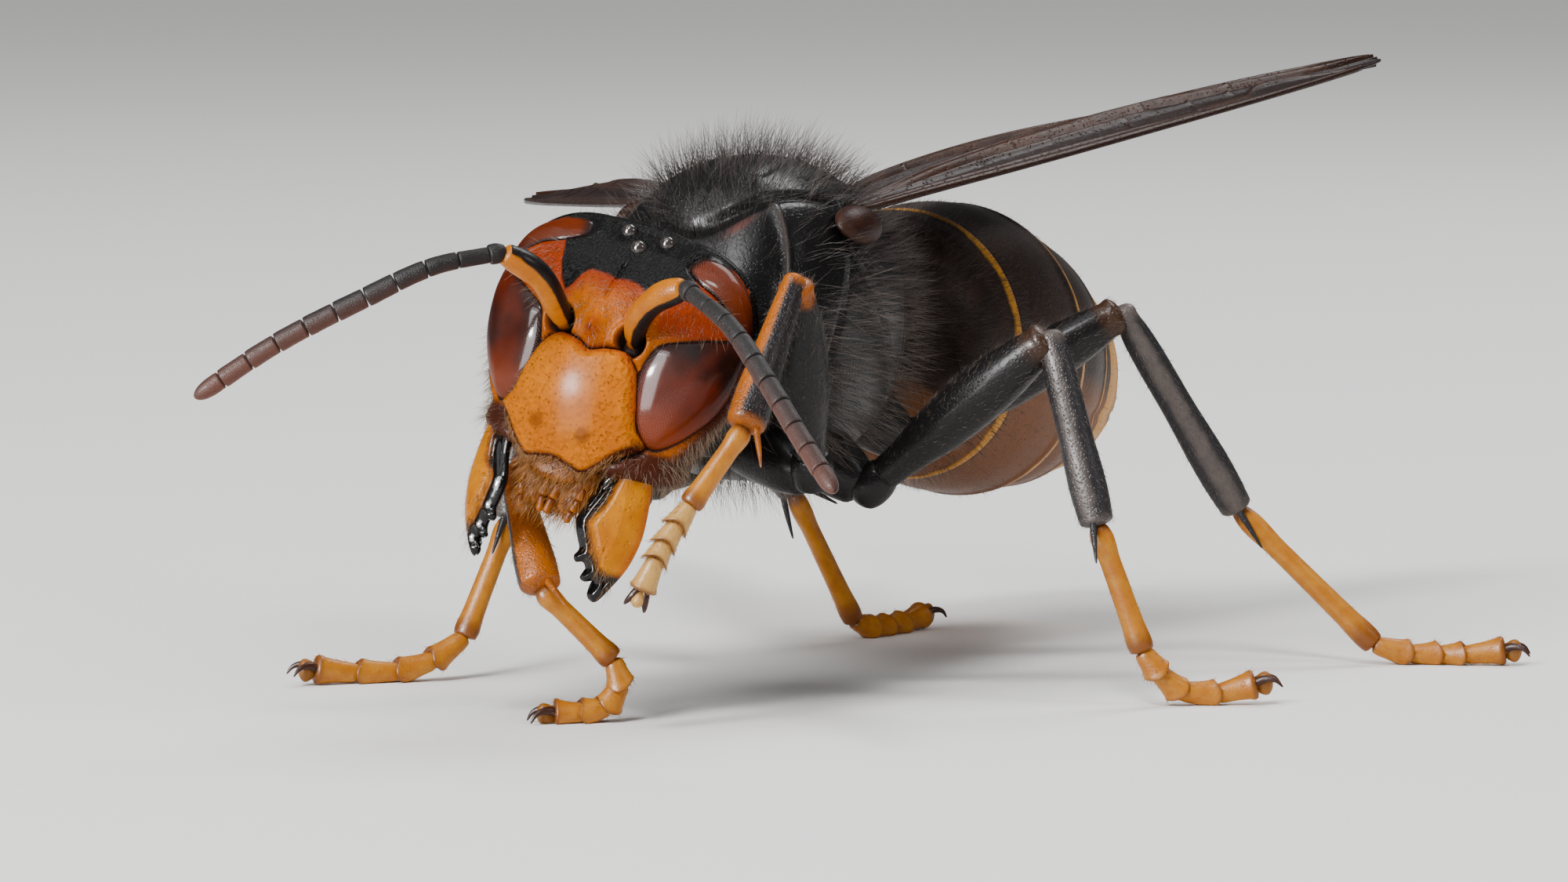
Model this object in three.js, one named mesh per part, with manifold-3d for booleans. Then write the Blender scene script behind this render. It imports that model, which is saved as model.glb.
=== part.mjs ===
// A worker yellow-legged hornet at life size, standing on five feet with its left fore leg raised.
// Millimetres, +Z up. The hornet faces -Y and its own left side is +X. The feet stand on z = 0.

import * as THREE from 'three';
import { mergeVertices } from 'three/addons/utils/BufferGeometryUtils.js';
import Module from 'manifold-3d';

const wasm = await Module();
wasm.setup();

// Driving sizes, in millimetres and degrees. The stance frame has its own zero near the right fore foot,
// and STANCE_SHIFT brings the middle of the model's footprint to the origin.
const STANCE_SHIFT = [2.98, -8.62, 0];
const GAP = 0.22;
const POCKET_GAP = 0.7 * GAP;
const BODY_X = -2.9;

const HEAD_PLACE = [-3.29, -0.5, 7.19];
const HEAD_TURN = { pitch: -9.3, roll: 15, yaw: 1.1 };
const HEAD_HALF_WIDTH = 2.68;
const HEAD_FRONT = 1.32;
const HEAD_BACK = 1.05;
const HEAD_LOW = -2.4;
const HEAD_TOP = 2.45;
const EYE_AXIS = [0.8, -0.6, 0];
const EYE_FLOOR = 0.95;
const EYE_PROUD = 0.08;
const CLYPEUS_FLOOR = 0.75;
const CLYPEUS_BULGE = [1.25, 0.55, 1.2];
const OCELLUS_RADIUS = 0.17;
const OCELLI = [[0, -0.64, 1.99], [0.43, -0.33, 2.23], [-0.43, -0.33, 2.23]];
const TUBERCLE = { place: [0, -1.22, 0.28], radii: [0.24, 0.3, 0.3] };

const SCAPE_RADIUS = 0.25;
const FLAGELLUM_RADIUS = 0.2;
const FLAGELLOMERES = 11;
const ANTENNA_LIFT = [0, -1, 0.3];

const THORAX_HALF_WIDTH = 2.6;
const THORAX_TOP = 10.75;
const THORAX_LOW = 4.25;
const NECK_RADIUS = 0.55;
const NECK_PATH = [[-3.25, -0.4, 7.1], [BODY_X, 1.6, 7.1]];
const TEGULA = { out: 2.3, y: 4.5, z: 9.4, radii: [0.55, 0.8, 0.42] };
const PRONOTUM_EDGE = { y: 4.3, z: 9.4, footY: 2.2, footZ: 5 };
const SCUTUM = { y: 5.7, halfWidth: 2.0, reach: 3.75 };
const PROPODEUM_EDGE = { y: 7.55, z: 10, footY: 7.0, footZ: 5 };

const GASTER_START = 9.65;
const GASTER_LENGTH = 11.9;
const GASTER_HALF_WIDTH = 2.92;
const GASTER_HALF_HEIGHT = 3.08;
const GASTER_Z = 6.3;
const GASTER_TILT = 0.3;
const GASTER_DROOP = 1.6;

const FOREWING = { length: 19, chord: 2.5, thickness: 0.5 };
const HINDWING = { length: 12.8, chord: 1.8, thickness: 0.5 };
const VEIN_RISE = 0.13;
const VEIN_END = 0.93;
const WING_CAMBER = 0.1;
const WING_ROOT = { out: 2.15, y: 5.15, z: 9.68 };
const HINDWING_BACKSET = 0.9;

const FEMUR_RADIUS = 0.55;
const TIBIA_RADIUS = 0.36;
const TARSUS_RADIUS = 0.25;
const COXA_RADIUS = 0.66;
const CLAW_LENGTH = 0.52;
const SPUR_LENGTH = 0.75;
const RAISED_FOOT_ACROSS = [0.9, 0.42, 0];

// Each leg as joints from body to toe. The last four are the ends of the short foot joints.
const LEGS = {
  fore_left: {
    root: [-1.95, 2.6, 5.2], hip: [-0.36, 2.1, 4.6], knee: [0.14, 0.2, 8.6], ankle: [-0.1, -1.6, 5.85],
    foot: [
      [-0.9, -2.35, 4.4], [-1.08, -2.53, 4.06], [-1.25, -2.7, 3.71],
      [-1.37, -2.82, 3.42], [-1.62, -2.97, 2.78],
    ],
  },
  fore_right: {
    root: [-3.7, 2.6, 5.2], hip: [-4.1, 1.9, 4.15], knee: [-5.6, -0.55, 4.75], ankle: [-4.35, -1.81, 2.59],
    foot: [
      [-3.13, -1.13, 1.2], [-3.0, -1.07, 0.74], [-3.19, -1.27, 0.3],
      [-3.56, -1.55, 0.2], [-4.06, -1.89, 0.2],
    ],
  },
  mid_left: {
    root: [-1.9, 4.9, 5.1], hip: [-0.55, 5.0, 4.1], knee: [3.29, 5.4, 7.28], ankle: [4.42, 5.15, 3.56],
    foot: [
      [5.23, 5.53, 1.07], [5.51, 5.66, 0.66], [5.84, 5.92, 0.28],
      [6.46, 6.32, 0.2], [7.2, 6.67, 0.42],
    ],
  },
  mid_right: {
    root: [-3.9, 4.9, 5.1], hip: [-5.2, 5.0, 4.2], knee: [-8.2, 5.5, 7.6], ankle: [-8.41, 4.79, 3.2],
    foot: [
      [-8.98, 3.87, 0.85], [-9.39, 3.34, 0.42], [-9.94, 2.87, 0.21],
      [-10.58, 2.35, 0.2], [-11.27, 1.69, 0.32],
    ],
  },
  hind_left: {
    root: [-2.2, 7.7, 5.7], hip: [-1.3, 8.6, 4.7], knee: [2.62, 10.71, 7.4], ankle: [4.19, 13.21, 3.17],
    foot: [
      [6.87, 14.13, 0.4], [7.51, 14.42, 0.22], [8.05, 14.68, 0.2],
      [8.55, 14.8, 0.2], [9.4, 15.09, 0.32],
    ],
  },
  hind_right: {
    root: [-3.6, 7.7, 5.7], hip: [-4.5, 8.6, 4.7], knee: [-8.15, 10.75, 7.15], ankle: [-5.52, 12.32, 3.2],
    foot: [
      [-4.75, 13.7, 0.4], [-4.6, 14.2, 0.22], [-4.5, 14.75, 0.2],
      [-4.4, 15.35, 0.2], [-4.25, 16.2, 0.32],
    ],
  },
};

const COLOURS = {
  orange: [0xf08a10, 0.35], eye: [0x5a1a0a, 0.2], black: [0x1a1716, 0.5], brown: [0x3a241a, 0.5],
  mandible: [0xf0a010, 0.35], mouth: [0xa8561c, 0.5], flagellum: [0x3c2622, 0.55], wing: [0x4a2f25, 0.4],
  band: [0xc8821c, 0.5], tibia: [0x4a4038, 0.55], tarsus: [0xe0a030, 0.45],
};

const root = new THREE.Group();
root.position.set(...STANCE_SHIFT);
const headGroup = new THREE.Group();
headGroup.position.set(...HEAD_PLACE);
const headAngles = [HEAD_TURN.pitch, HEAD_TURN.roll, HEAD_TURN.yaw].map(THREE.MathUtils.degToRad);
headGroup.rotation.set(...headAngles, 'ZXY');
headGroup.updateMatrix();
root.add(headGroup);

function vector(place) {
  return new THREE.Vector3(...place);
}

// Closes a stack of rings of points into one skin, with a fan to a middle point at each end.
function closeRings(rings) {
  const sides = rings[0].length;
  const middle = (ring) => ring.reduce((sum, p) => sum.add(p), new THREE.Vector3()).divideScalar(sides);
  const points = [...rings.flat(), middle(rings[0]), middle(rings[rings.length - 1])];
  const faces = [];
  for (let row = 0; row < rings.length - 1; row += 1) {
    for (let i = 0; i < sides; i += 1) {
      const a = row * sides + i;
      const b = row * sides + ((i + 1) % sides);
      faces.push(a, b, a + sides, b, b + sides, a + sides);
    }
  }
  const last = (rings.length - 1) * sides;
  for (let i = 0; i < sides; i += 1) {
    const j = (i + 1) % sides;
    faces.push(points.length - 2, j, i, points.length - 1, last + i, last + j);
  }
  const geometry = new THREE.BufferGeometry().setFromPoints(points);
  geometry.setIndex(faces);
  return geometry;
}

// Six times the signed volume, which is positive where the faces point outwards.
function signedVolume(geometry) {
  const place = geometry.getAttribute('position');
  const faces = geometry.getIndex();
  const corner = (k) => new THREE.Vector3().fromBufferAttribute(place, faces.getX(k));
  let total = 0;
  for (let k = 0; k < faces.count; k += 3) {
    total += corner(k).dot(corner(k + 1).cross(corner(k + 2)));
  }
  return total;
}

// A geometry as a closed solid, moved by a matrix where one is given.
function toSolid(geometry, matrix = new THREE.Matrix4()) {
  const bare = geometry.clone();
  bare.deleteAttribute('normal');
  bare.deleteAttribute('uv');
  const merged = mergeVertices(bare, 1e-5).applyMatrix4(matrix);
  const faces = Uint32Array.from(merged.getIndex().array);
  if (signedVolume(merged) < 0) {
    for (let k = 0; k < faces.length; k += 3) {
      [faces[k], faces[k + 1]] = [faces[k + 1], faces[k]];
    }
  }
  const vertProperties = Float32Array.from(merged.getAttribute('position').array);
  return new wasm.Manifold(new wasm.Mesh({ numProp: 3, vertProperties, triVerts: faces }));
}

// The largest closed surface of a solid, as a geometry with flat faces.
function toGeometry(solid) {
  const pieces = solid.decompose();
  const largest = pieces.reduce((best, piece) => (piece.volume() > best.volume() ? piece : best));
  const mesh = largest.getMesh();
  const geometry = new THREE.BufferGeometry();
  geometry.setAttribute('position', new THREE.BufferAttribute(Float32Array.from(mesh.vertProperties), 3));
  geometry.setIndex(new THREE.BufferAttribute(Uint32Array.from(mesh.triVerts), 1));
  geometry.computeVertexNormals();
  return geometry;
}

function addPart(name, solid, [colour, roughness], parent = root) {
  const material = new THREE.MeshStandardMaterial({ color: colour, roughness, metalness: 0 });
  const mesh = new THREE.Mesh(toGeometry(solid.simplify(2e-3)), material);
  mesh.name = name;
  parent.add(mesh);
}

// A tapered tube through stations of [x, y, z, half width, half depth, other half depth].
// The half depths lie along lift and against it. The ends are rounded by one more ring each.
function tube(stations, { sides = 8, perSpan = 2, round = [0.8, 0.8], lift = [0, 0, 1], square = 2 } = {}) {
  const path = new THREE.CatmullRomCurve3(stations.map((s) => new THREE.Vector3(s[0], s[1], s[2])));
  const sizes = new THREE.CatmullRomCurve3(
    stations.map((s) => new THREE.Vector3(s[3], s[4] ?? s[3], s[5] ?? s[4] ?? s[3])),
  );
  const bend = (value) => Math.sign(value) * Math.abs(value) ** (2 / square);
  const ring = (t, scale, slide) => {
    const along = path.getTangent(t);
    const across = new THREE.Vector3().crossVectors(along, vector(lift)).normalize();
    const over = new THREE.Vector3().crossVectors(across, along);
    const size = sizes.getPoint(t);
    const reach = slide * Math.min(size.x, size.y);
    const centre = path.getPoint(t).addScaledVector(along, reach);
    return Array.from({ length: sides }, (_, i) => {
      const angle = (i / sides) * 2 * Math.PI;
      const lifted = bend(Math.sin(angle)) * scale * (Math.sin(angle) > 0 ? size.y : size.z);
      return centre.clone()
        .addScaledVector(across, bend(Math.cos(angle)) * scale * size.x)
        .addScaledVector(over, lifted);
    });
  };
  const rows = (stations.length - 1) * perSpan;
  const rings = Array.from({ length: rows + 1 }, (_, i) => ring(i / rows, 1, 0));
  const cap = (share) => (share > 0 ? [[0.4, 0.95 * share], [0.78, 0.62 * share]] : []);
  const start = cap(round[0]).map(([scale, slide]) => ring(0, scale, -slide));
  const finish = cap(round[1]).map(([scale, slide]) => ring(1, scale, slide)).reverse();
  return closeRings([...start, ...rings, ...finish]);
}

// The part of space on one side of a plane, as a big block: the side that the normal points away from.
function behind(point, normal) {
  const size = 60;
  const block = new THREE.BoxGeometry(size, size, size).translate(0, 0, -size / 2);
  const upright = new THREE.Vector3(0, 0, 1);
  const turn = new THREE.Quaternion().setFromUnitVectors(upright, vector(normal).normalize());
  return toSolid(block, new THREE.Matrix4().compose(vector(point), turn, new THREE.Vector3(1, 1, 1)));
}

function ellipsoid(place, radii, sides = 14, rows = 8) {
  return new THREE.SphereGeometry(1, sides, rows).scale(...radii).translate(...place);
}

function joined(solids) {
  return solids.reduce((whole, solid) => whole.add(solid));
}

// A smooth closed outline through a few points, moved outwards by grow.
function outline(points, grow, count) {
  const curve = new THREE.CatmullRomCurve3(points.map(([a, b]) => new THREE.Vector3(a, b, 0)), true);
  const drawn = curve.getPoints(count).slice(0, -1);
  const turning = THREE.ShapeUtils.area(drawn) > 0 ? 1 : -1;
  const moved = drawn.map((p, i) => {
    const before = drawn[(i + drawn.length - 1) % drawn.length];
    const after = drawn[(i + 1) % drawn.length];
    const side = new THREE.Vector2(after.y - before.y, before.x - after.x).normalize();
    return new THREE.Vector2(p.x + side.x * grow * turning, p.y + side.y * grow * turning);
  });
  return new THREE.Shape(moved);
}

// A straight block of an outline. Its outline lies across axis, and floor is where along axis it starts.
function prism(points, axis, floor, grow, count = 22) {
  const plain = { depth: 4, bevelEnabled: false, steps: 1 };
  const block = new THREE.ExtrudeGeometry(outline(points, grow, count), plain);
  const out = vector(axis).normalize();
  const sideways = new THREE.Vector3(-out.y, out.x, 0).normalize();
  const upwards = new THREE.Vector3().crossVectors(out, sideways);
  const frame = new THREE.Matrix4().makeBasis(sideways, upwards, out);
  frame.setPosition(out.clone().multiplyScalar(floor));
  return toSolid(block, frame);
}

// Head capsule: horizontal rings from the mouth to the crown, deeper in front than behind.
function headGeometry(grow) {
  const shares = [
    [0, 0.56, 0.84, 0.42], [0.173, 0.82, 0.97, 0.74], [0.368, 0.965, 1, 0.92], [0.585, 1, 0.985, 1],
    [0.784, 0.945, 0.83, 0.95], [0.903, 0.82, 0.47, 0.72], [0.969, 0.6, 0.18, 0.48],
  ];
  const stations = shares.map(([height, width, front, back]) => [
    0, 0, HEAD_LOW + height * (HEAD_TOP - HEAD_LOW), HEAD_HALF_WIDTH * width + grow,
    HEAD_FRONT * front + grow, HEAD_BACK * back + grow,
  ]);
  return tube(stations, { sides: 26, perSpan: 2, round: [0.18, 0.18], lift: [0, -1, 0], square: 2.3 });
}

// Kidney outline of a compound eye, as [backwards, upwards] across the eye's axis.
const EYE_OUTLINE = [
  [-0.13, 0.36], [-0.3, -0.3], [-0.22, -0.9], [0.1, -1.52], [0.38, -1.6], [0.68, -1.38], [1.3, -0.55],
  [1.6, 0.5], [1.52, 1.3], [1.2, 1.93], [0.64, 2.22], [0.26, 1.92], [0.88, 1.38], [1.05, 1.05], [0.6, 0.72],
];

// Outline of the clypeus seen from the front, right half from the upper notch down to the lower one.
const CLYPEUS_HALF = [
  [0.35, 0.0], [0.72, 0.02], [1.06, -0.28], [1.26, -0.85], [1.32, -1.3],
  [1.6, -1.62], [1.22, -1.92], [0.98, -2.2], [0.66, -2.46], [0.28, -2.4],
];

const CLYPEUS_OUTLINE = [
  [0, -0.14], ...CLYPEUS_HALF, [0, -2.34], ...CLYPEUS_HALF.map(([x, z]) => [-x, z]).reverse(),
];

function eyeAxis(side) {
  return [side * EYE_AXIS[0], EYE_AXIS[1], EYE_AXIS[2]];
}

function eyePrism(side, grow) {
  const points = EYE_OUTLINE.map(([back, up]) => [side * back, up]);
  return prism(points, eyeAxis(side), EYE_FLOOR - grow, grow, 30);
}

function clypeusPrism(grow) {
  return prism(CLYPEUS_OUTLINE, [0, -1, 0], CLYPEUS_FLOOR - grow, grow, 36);
}

function clypeusMass(grow) {
  const radii = CLYPEUS_BULGE.map((r) => r + grow);
  return toSolid(headGeometry(0.04 + grow)).add(toSolid(ellipsoid([0, -1.08, -1.15], radii, 16, 10)));
}

// Mandible seen from the front: a broad blade with three blunt teeth on its inner edge, hinged at the top.
const MANDIBLE_OUTLINE = [
  [1.3, -1.75], [1.86, -1.9], [2.0, -2.7], [2.04, -3.4], [1.82, -4.1], [1.4, -4.72], [1.22, -4.66],
  [1.3, -4.42], [1.02, -4.36], [1.06, -4.12], [0.8, -3.98], [0.86, -3.74], [0.66, -3.2], [0.98, -2.6],
];

// Each mandible by its hinge in the head's frame, its splay about the upright and its opening, in degrees.
const MANDIBLE_AXIS = 1.6;
const MANDIBLE_LEAN = 86;
const MANDIBLE_DEPTH = 0.36;
const MANDIBLE_BEVEL = { bevelThickness: 0.14, bevelSize: 0.1, bevelOffset: -0.1, bevelSegments: 2 };
const MANDIBLE_POSE = {
  left: { side: 1, hinge: [1.36, -0.55, -1.95], splay: 18, open: 5 },
  right: { side: -1, hinge: [-1.58, -0.55, -2.08], splay: 36, open: -12 },
};

function mandible({ side, hinge, splay, open }) {
  const shape = new THREE.Shape(MANDIBLE_OUTLINE.map(([x, z]) => new THREE.Vector2(side * x, z)));
  const blade = new THREE.ExtrudeGeometry(shape, { depth: MANDIBLE_DEPTH, steps: 1, ...MANDIBLE_BEVEL });
  blade.translate(-side * MANDIBLE_AXIS, -hinge[2], 0).rotateZ(side * THREE.MathUtils.degToRad(open));
  blade.rotateX(THREE.MathUtils.degToRad(MANDIBLE_LEAN)).rotateZ(side * THREE.MathUtils.degToRad(splay));
  return toSolid(blade.translate(...hinge));
}

function thoraxGeometry(grow) {
  const middle = (THORAX_TOP + THORAX_LOW) / 2;
  const half = (THORAX_TOP - THORAX_LOW) / 2;
  const shares = [
    [1.0, 0.45, 0.32, 0.33, -0.12], [1.5, 0.72, 0.52, 0.6, -0.1], [2.6, 0.9, 0.85, 0.88, -0.02],
    [4.4, 1, 1, 1, 0], [6.2, 0.95, 0.93, 0.97, 0], [7.6, 0.8, 0.7, 0.83, -0.02],
    [8.6, 0.55, 0.42, 0.56, -0.1], [9.15, 0.36, 0.16, 0.3, -0.2],
  ];
  const stations = shares.map(([y, width, up, down, rise]) => [
    BODY_X, y, middle + rise * half, THORAX_HALF_WIDTH * width + grow, half * up + grow, half * down + grow,
  ]);
  return tube(stations, { sides: 24, perSpan: 2, round: [0.3, 0.3], square: 2.2 });
}

function buildHead() {
  const capsule = toSolid(headGeometry(0));
  const tubercle = toSolid(ellipsoid(TUBERCLE.place, TUBERCLE.radii, 10, 6));
  const bead = [OCELLUS_RADIUS, OCELLUS_RADIUS, OCELLUS_RADIUS];
  const ocelli = OCELLI.map((place) => toSolid(ellipsoid(place, bead, 7, 4)));
  const pockets = joined([eyePrism(1, POCKET_GAP), eyePrism(-1, POCKET_GAP), clypeusPrism(POCKET_GAP)]);
  const head = joined([capsule, tubercle, ...ocelli]).subtract(pockets);
  addPart('head', head, COLOURS.black, headGroup);

  const proud = toSolid(headGeometry(EYE_PROUD));
  const eyeRoom = joined([eyePrism(1, GAP), eyePrism(-1, GAP)]);
  const clypeus = clypeusMass(0).intersect(clypeusPrism(0)).subtract(eyeRoom);
  addPart('clypeus', clypeus, COLOURS.orange, headGroup);
  addPart('eye_left', proud.intersect(eyePrism(1, 0)), COLOURS.eye, headGroup);
  addPart('eye_right', proud.intersect(eyePrism(-1, 0)), COLOURS.eye, headGroup);

  const grownHead = clypeusMass(GAP);
  Object.entries(MANDIBLE_POSE).forEach(([side, pose]) => {
    addPart(`mandible_${side}`, mandible(pose).subtract(grownHead), COLOURS.mandible, headGroup);
  });
  addPart('mouthparts', mouthparts().subtract(grownHead), COLOURS.mouth, headGroup);
}

// Tongue, two maxillae and their feelers under the clypeus, between the mandibles.
function mouthparts() {
  const strips = [
    [[0, -0.45, -1.9, 0.42, 0.3], [0, -0.62, -2.8, 0.36, 0.25], [0, -0.72, -3.35, 0.14, 0.14]],
    [[0.42, -0.62, -1.9, 0.3, 0.26], [0.38, -0.86, -2.75, 0.26, 0.2], [0.3, -0.98, -3.2, 0.12, 0.12]],
    [[-0.42, -0.62, -1.9, 0.3, 0.26], [-0.38, -0.86, -2.75, 0.26, 0.2], [-0.3, -0.98, -3.2, 0.12, 0.12]],
    [[0.1, -0.85, -2.2, 0.14], [0.13, -1.08, -2.9, 0.12], [0.05, -1.14, -3.4, 0.08]],
    [[-0.1, -0.85, -2.2, 0.14], [-0.13, -1.08, -2.9, 0.12], [-0.16, -1.1, -3.35, 0.08]],
  ];
  const shape = { sides: 6, perSpan: 2, round: [0, 0.6], lift: [0, -1, 0] };
  return joined(strips.map((stations) => toSolid(tube(stations, shape))));
}

// Antennae in the head's frame. The scape leaves its socket and the flagellum runs on from the elbow.
const ANTENNAE = {
  left: {
    scape: [[0.72, -0.95, 0.15], [0.91, -1.53, 0.72], [1.39, -1.98, 1.27], [1.97, -2.2, 1.62]],
    flagellum: [
      [1.97, -2.2, 1.62], [3.4, -2.95, 1.24], [4.9, -3.7, 0.44], [6.3, -4.4, -0.39], [7.45, -5.05, -1.0],
    ],
  },
  right: {
    scape: [[-0.8, -0.95, 0.15], [-0.76, -1.6, 0.45], [-0.98, -2.5, 1.0], [-1.53, -3.08, 1.2]],
    flagellum: [
      [-1.53, -3.08, 1.2], [-2.36, -3.85, 0.62], [-3.39, -4.52, -0.46], [-4.6, -5.04, -1.77],
      [-5.72, -5.4, -3.21],
    ],
  },
};

function mitre(before, joint, after) {
  const arriving = vector(joint).sub(vector(before)).normalize();
  const leaving = vector(after).sub(vector(joint)).normalize();
  return arriving.add(leaving).normalize();
}

// Two pieces that meet at a joint are cut to faces on either side of the plane that halves its angle.
function cutAtJoint(solid, joint, normal, side) {
  const facing = normal.clone().multiplyScalar(-side);
  const place = vector(joint).addScaledVector(normal, (side * GAP) / 2);
  return solid.intersect(behind(place.toArray(), facing.toArray()));
}

function buildAntenna(side, { scape, flagellum }) {
  const elbow = flagellum[0];
  const normal = mitre(scape[2], elbow, flagellum[1]);
  const thin = [0.8, 0.85, 1, 0.9];
  const stations = scape.map((place, i) => [...place, SCAPE_RADIUS * thin[i]]);
  const shaft = toSolid(tube(stations, { lift: ANTENNA_LIFT })).subtract(toSolid(headGeometry(GAP)));
  addPart(`antenna_${side}_scape`, cutAtJoint(shaft, elbow, normal, -1), COLOURS.orange, headGroup);
  const path = new THREE.CatmullRomCurve3(flagellum.map(vector));
  const rings = [];
  for (let joint = 0; joint < FLAGELLOMERES; joint += 1) {
    const taper = Math.min(1, 0.78 + 0.06 * joint) - 0.12 * (joint / FLAGELLOMERES) ** 3;
    const waists = [[0.08, 0.92], [0.6, 1.04]];
    for (const [share, swell] of waists) {
      const place = path.getPointAt((joint + share) / FLAGELLOMERES);
      rings.push([...place.toArray(), FLAGELLUM_RADIUS * taper * swell]);
    }
  }
  rings.push([...path.getPointAt(1).toArray(), FLAGELLUM_RADIUS * 0.5]);
  const whip = toSolid(tube(rings, { sides: 7, perSpan: 1, lift: ANTENNA_LIFT }));
  addPart(`antenna_${side}_flagellum`, cutAtJoint(whip, elbow, normal, 1), COLOURS.flagellum, headGroup);
}

// A slanted plane across the thorax, by its place high on the side and its place low on the side.
function slant({ y, z, footY, footZ }, shift) {
  const normal = new THREE.Vector3(0, z - footZ, footY - y).normalize();
  const place = new THREE.Vector3(0, y, z).addScaledVector(normal, shift);
  return { place: place.toArray(), normal: normal.toArray(), back: normal.clone().negate().toArray() };
}

function scutumColumn(shrink) {
  const column = new THREE.CylinderGeometry(1, 1, 14, 28).rotateX(Math.PI / 2);
  column.scale(SCUTUM.halfWidth - shrink, SCUTUM.reach - shrink, 1).translate(BODY_X, SCUTUM.y, 9);
  return toSolid(column);
}

function pronotumSolid(grow) {
  const edge = slant(PRONOTUM_EDGE, grow);
  const collar = toSolid(thoraxGeometry(grow)).intersect(behind(edge.place, edge.normal));
  return collar.subtract(scutumColumn(grow));
}

function buildThorax() {
  const body = toSolid(thoraxGeometry(0));
  const rear = slant(PROPODEUM_EDGE, 0);
  const rearStart = slant(PROPODEUM_EDGE, GAP);
  addPart('pronotum', pronotumSolid(0), COLOURS.black);
  const mesothorax = body.intersect(behind(rear.place, rear.normal)).subtract(pronotumSolid(GAP));
  addPart('mesothorax', mesothorax, COLOURS.black);
  addPart('propodeum', body.intersect(behind(rearStart.place, rearStart.back)), COLOURS.black);

  const neck = tube(NECK_PATH.map((place) => [...place, NECK_RADIUS]), { sides: 12, round: [0, 0] });
  const throat = toSolid(neck)
    .subtract(toSolid(headGeometry(GAP), headGroup.matrix))
    .subtract(toSolid(thoraxGeometry(GAP)));
  addPart('neck', throat, COLOURS.black);
}

function tegulaGeometry(side, grow) {
  const place = [BODY_X + side * TEGULA.out, TEGULA.y, TEGULA.z];
  return ellipsoid(place, TEGULA.radii.map((r) => r + grow), 10, 6);
}

function buildTegula(name, side) {
  const lid = toSolid(tegulaGeometry(side, 0)).subtract(toSolid(thoraxGeometry(GAP)));
  addPart(name, lid, COLOURS.mouth);
}

// Gaster: six rings of plates, each starting a little under the rear edge of the one in front.
const SEGMENTS = [
  { start: 0.01, end: 0.215, radii: [0.4, 0.74, 0.86, 0.92] },
  { start: 0.215, end: 0.45, radii: [0.92, 0.99, 1.0] },
  { start: 0.45, end: 0.62, radii: [0.94, 0.94, 0.88] },
  { start: 0.62, end: 0.77, radii: [0.83, 0.8, 0.71] },
  { start: 0.77, end: 0.89, radii: [0.66, 0.6, 0.5] },
  { start: 0.89, end: 1, radii: [0.45, 0.37, 0.25, 0.08] },
];

function gasterCentre(share) {
  const height = GASTER_Z + GASTER_TILT * (1 - share) - GASTER_DROOP * share ** 2;
  return [BODY_X, GASTER_START + share * GASTER_LENGTH, height];
}

function buildGaster() {
  SEGMENTS.forEach(({ start, end, radii }, index) => {
    const stop = end - GAP / GASTER_LENGTH;
    const stations = radii.map((radius, i) => {
      const share = THREE.MathUtils.lerp(start, stop, i / (radii.length - 1));
      return [...gasterCentre(share), GASTER_HALF_WIDTH * radius, GASTER_HALF_HEIGHT * radius];
    });
    const first = index === 0;
    const last = index === SEGMENTS.length - 1;
    const round = [first ? 0.35 : 0, last ? 0.35 : 0];
    const segment = toSolid(tube(stations, { sides: 24, perSpan: last ? 1 : 2, round }));
    const colour = index > 3 ? COLOURS.band : COLOURS.brown;
    addPart(`gaster_${index + 1}`, first ? segment.subtract(toSolid(thoraxGeometry(GAP))) : segment, colour);
  });
}

// Wing plate: rows run along the wing, columns from the front edge to the rear one.
// Chord shares that carry a vein are raised on both faces, and so are the rows of the cross veins.
const VEIN_COLUMNS = [0, 0.05, 0.12, 0.3, 0.36, 0.42, 0.62, 0.68, 0.74, 0.94, 1];
const RAISED_COLUMNS = [1, 4, 7];
const CHORD_SHARES = [
  [0, 0.3], [0.12, 0.5], [0.3, 0.86], [0.5, 1], [0.72, 0.98], [0.88, 0.74], [0.96, 0.46], [1, 0.14],
];

function chordShare(along) {
  const next = CHORD_SHARES.findIndex(([share]) => share >= along);
  if (next <= 0) {
    return CHORD_SHARES[0][1];
  }
  const [from, low] = CHORD_SHARES[next - 1];
  const [to, high] = CHORD_SHARES[next];
  return THREE.MathUtils.lerp(low, high, (along - from) / (to - from));
}

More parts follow.
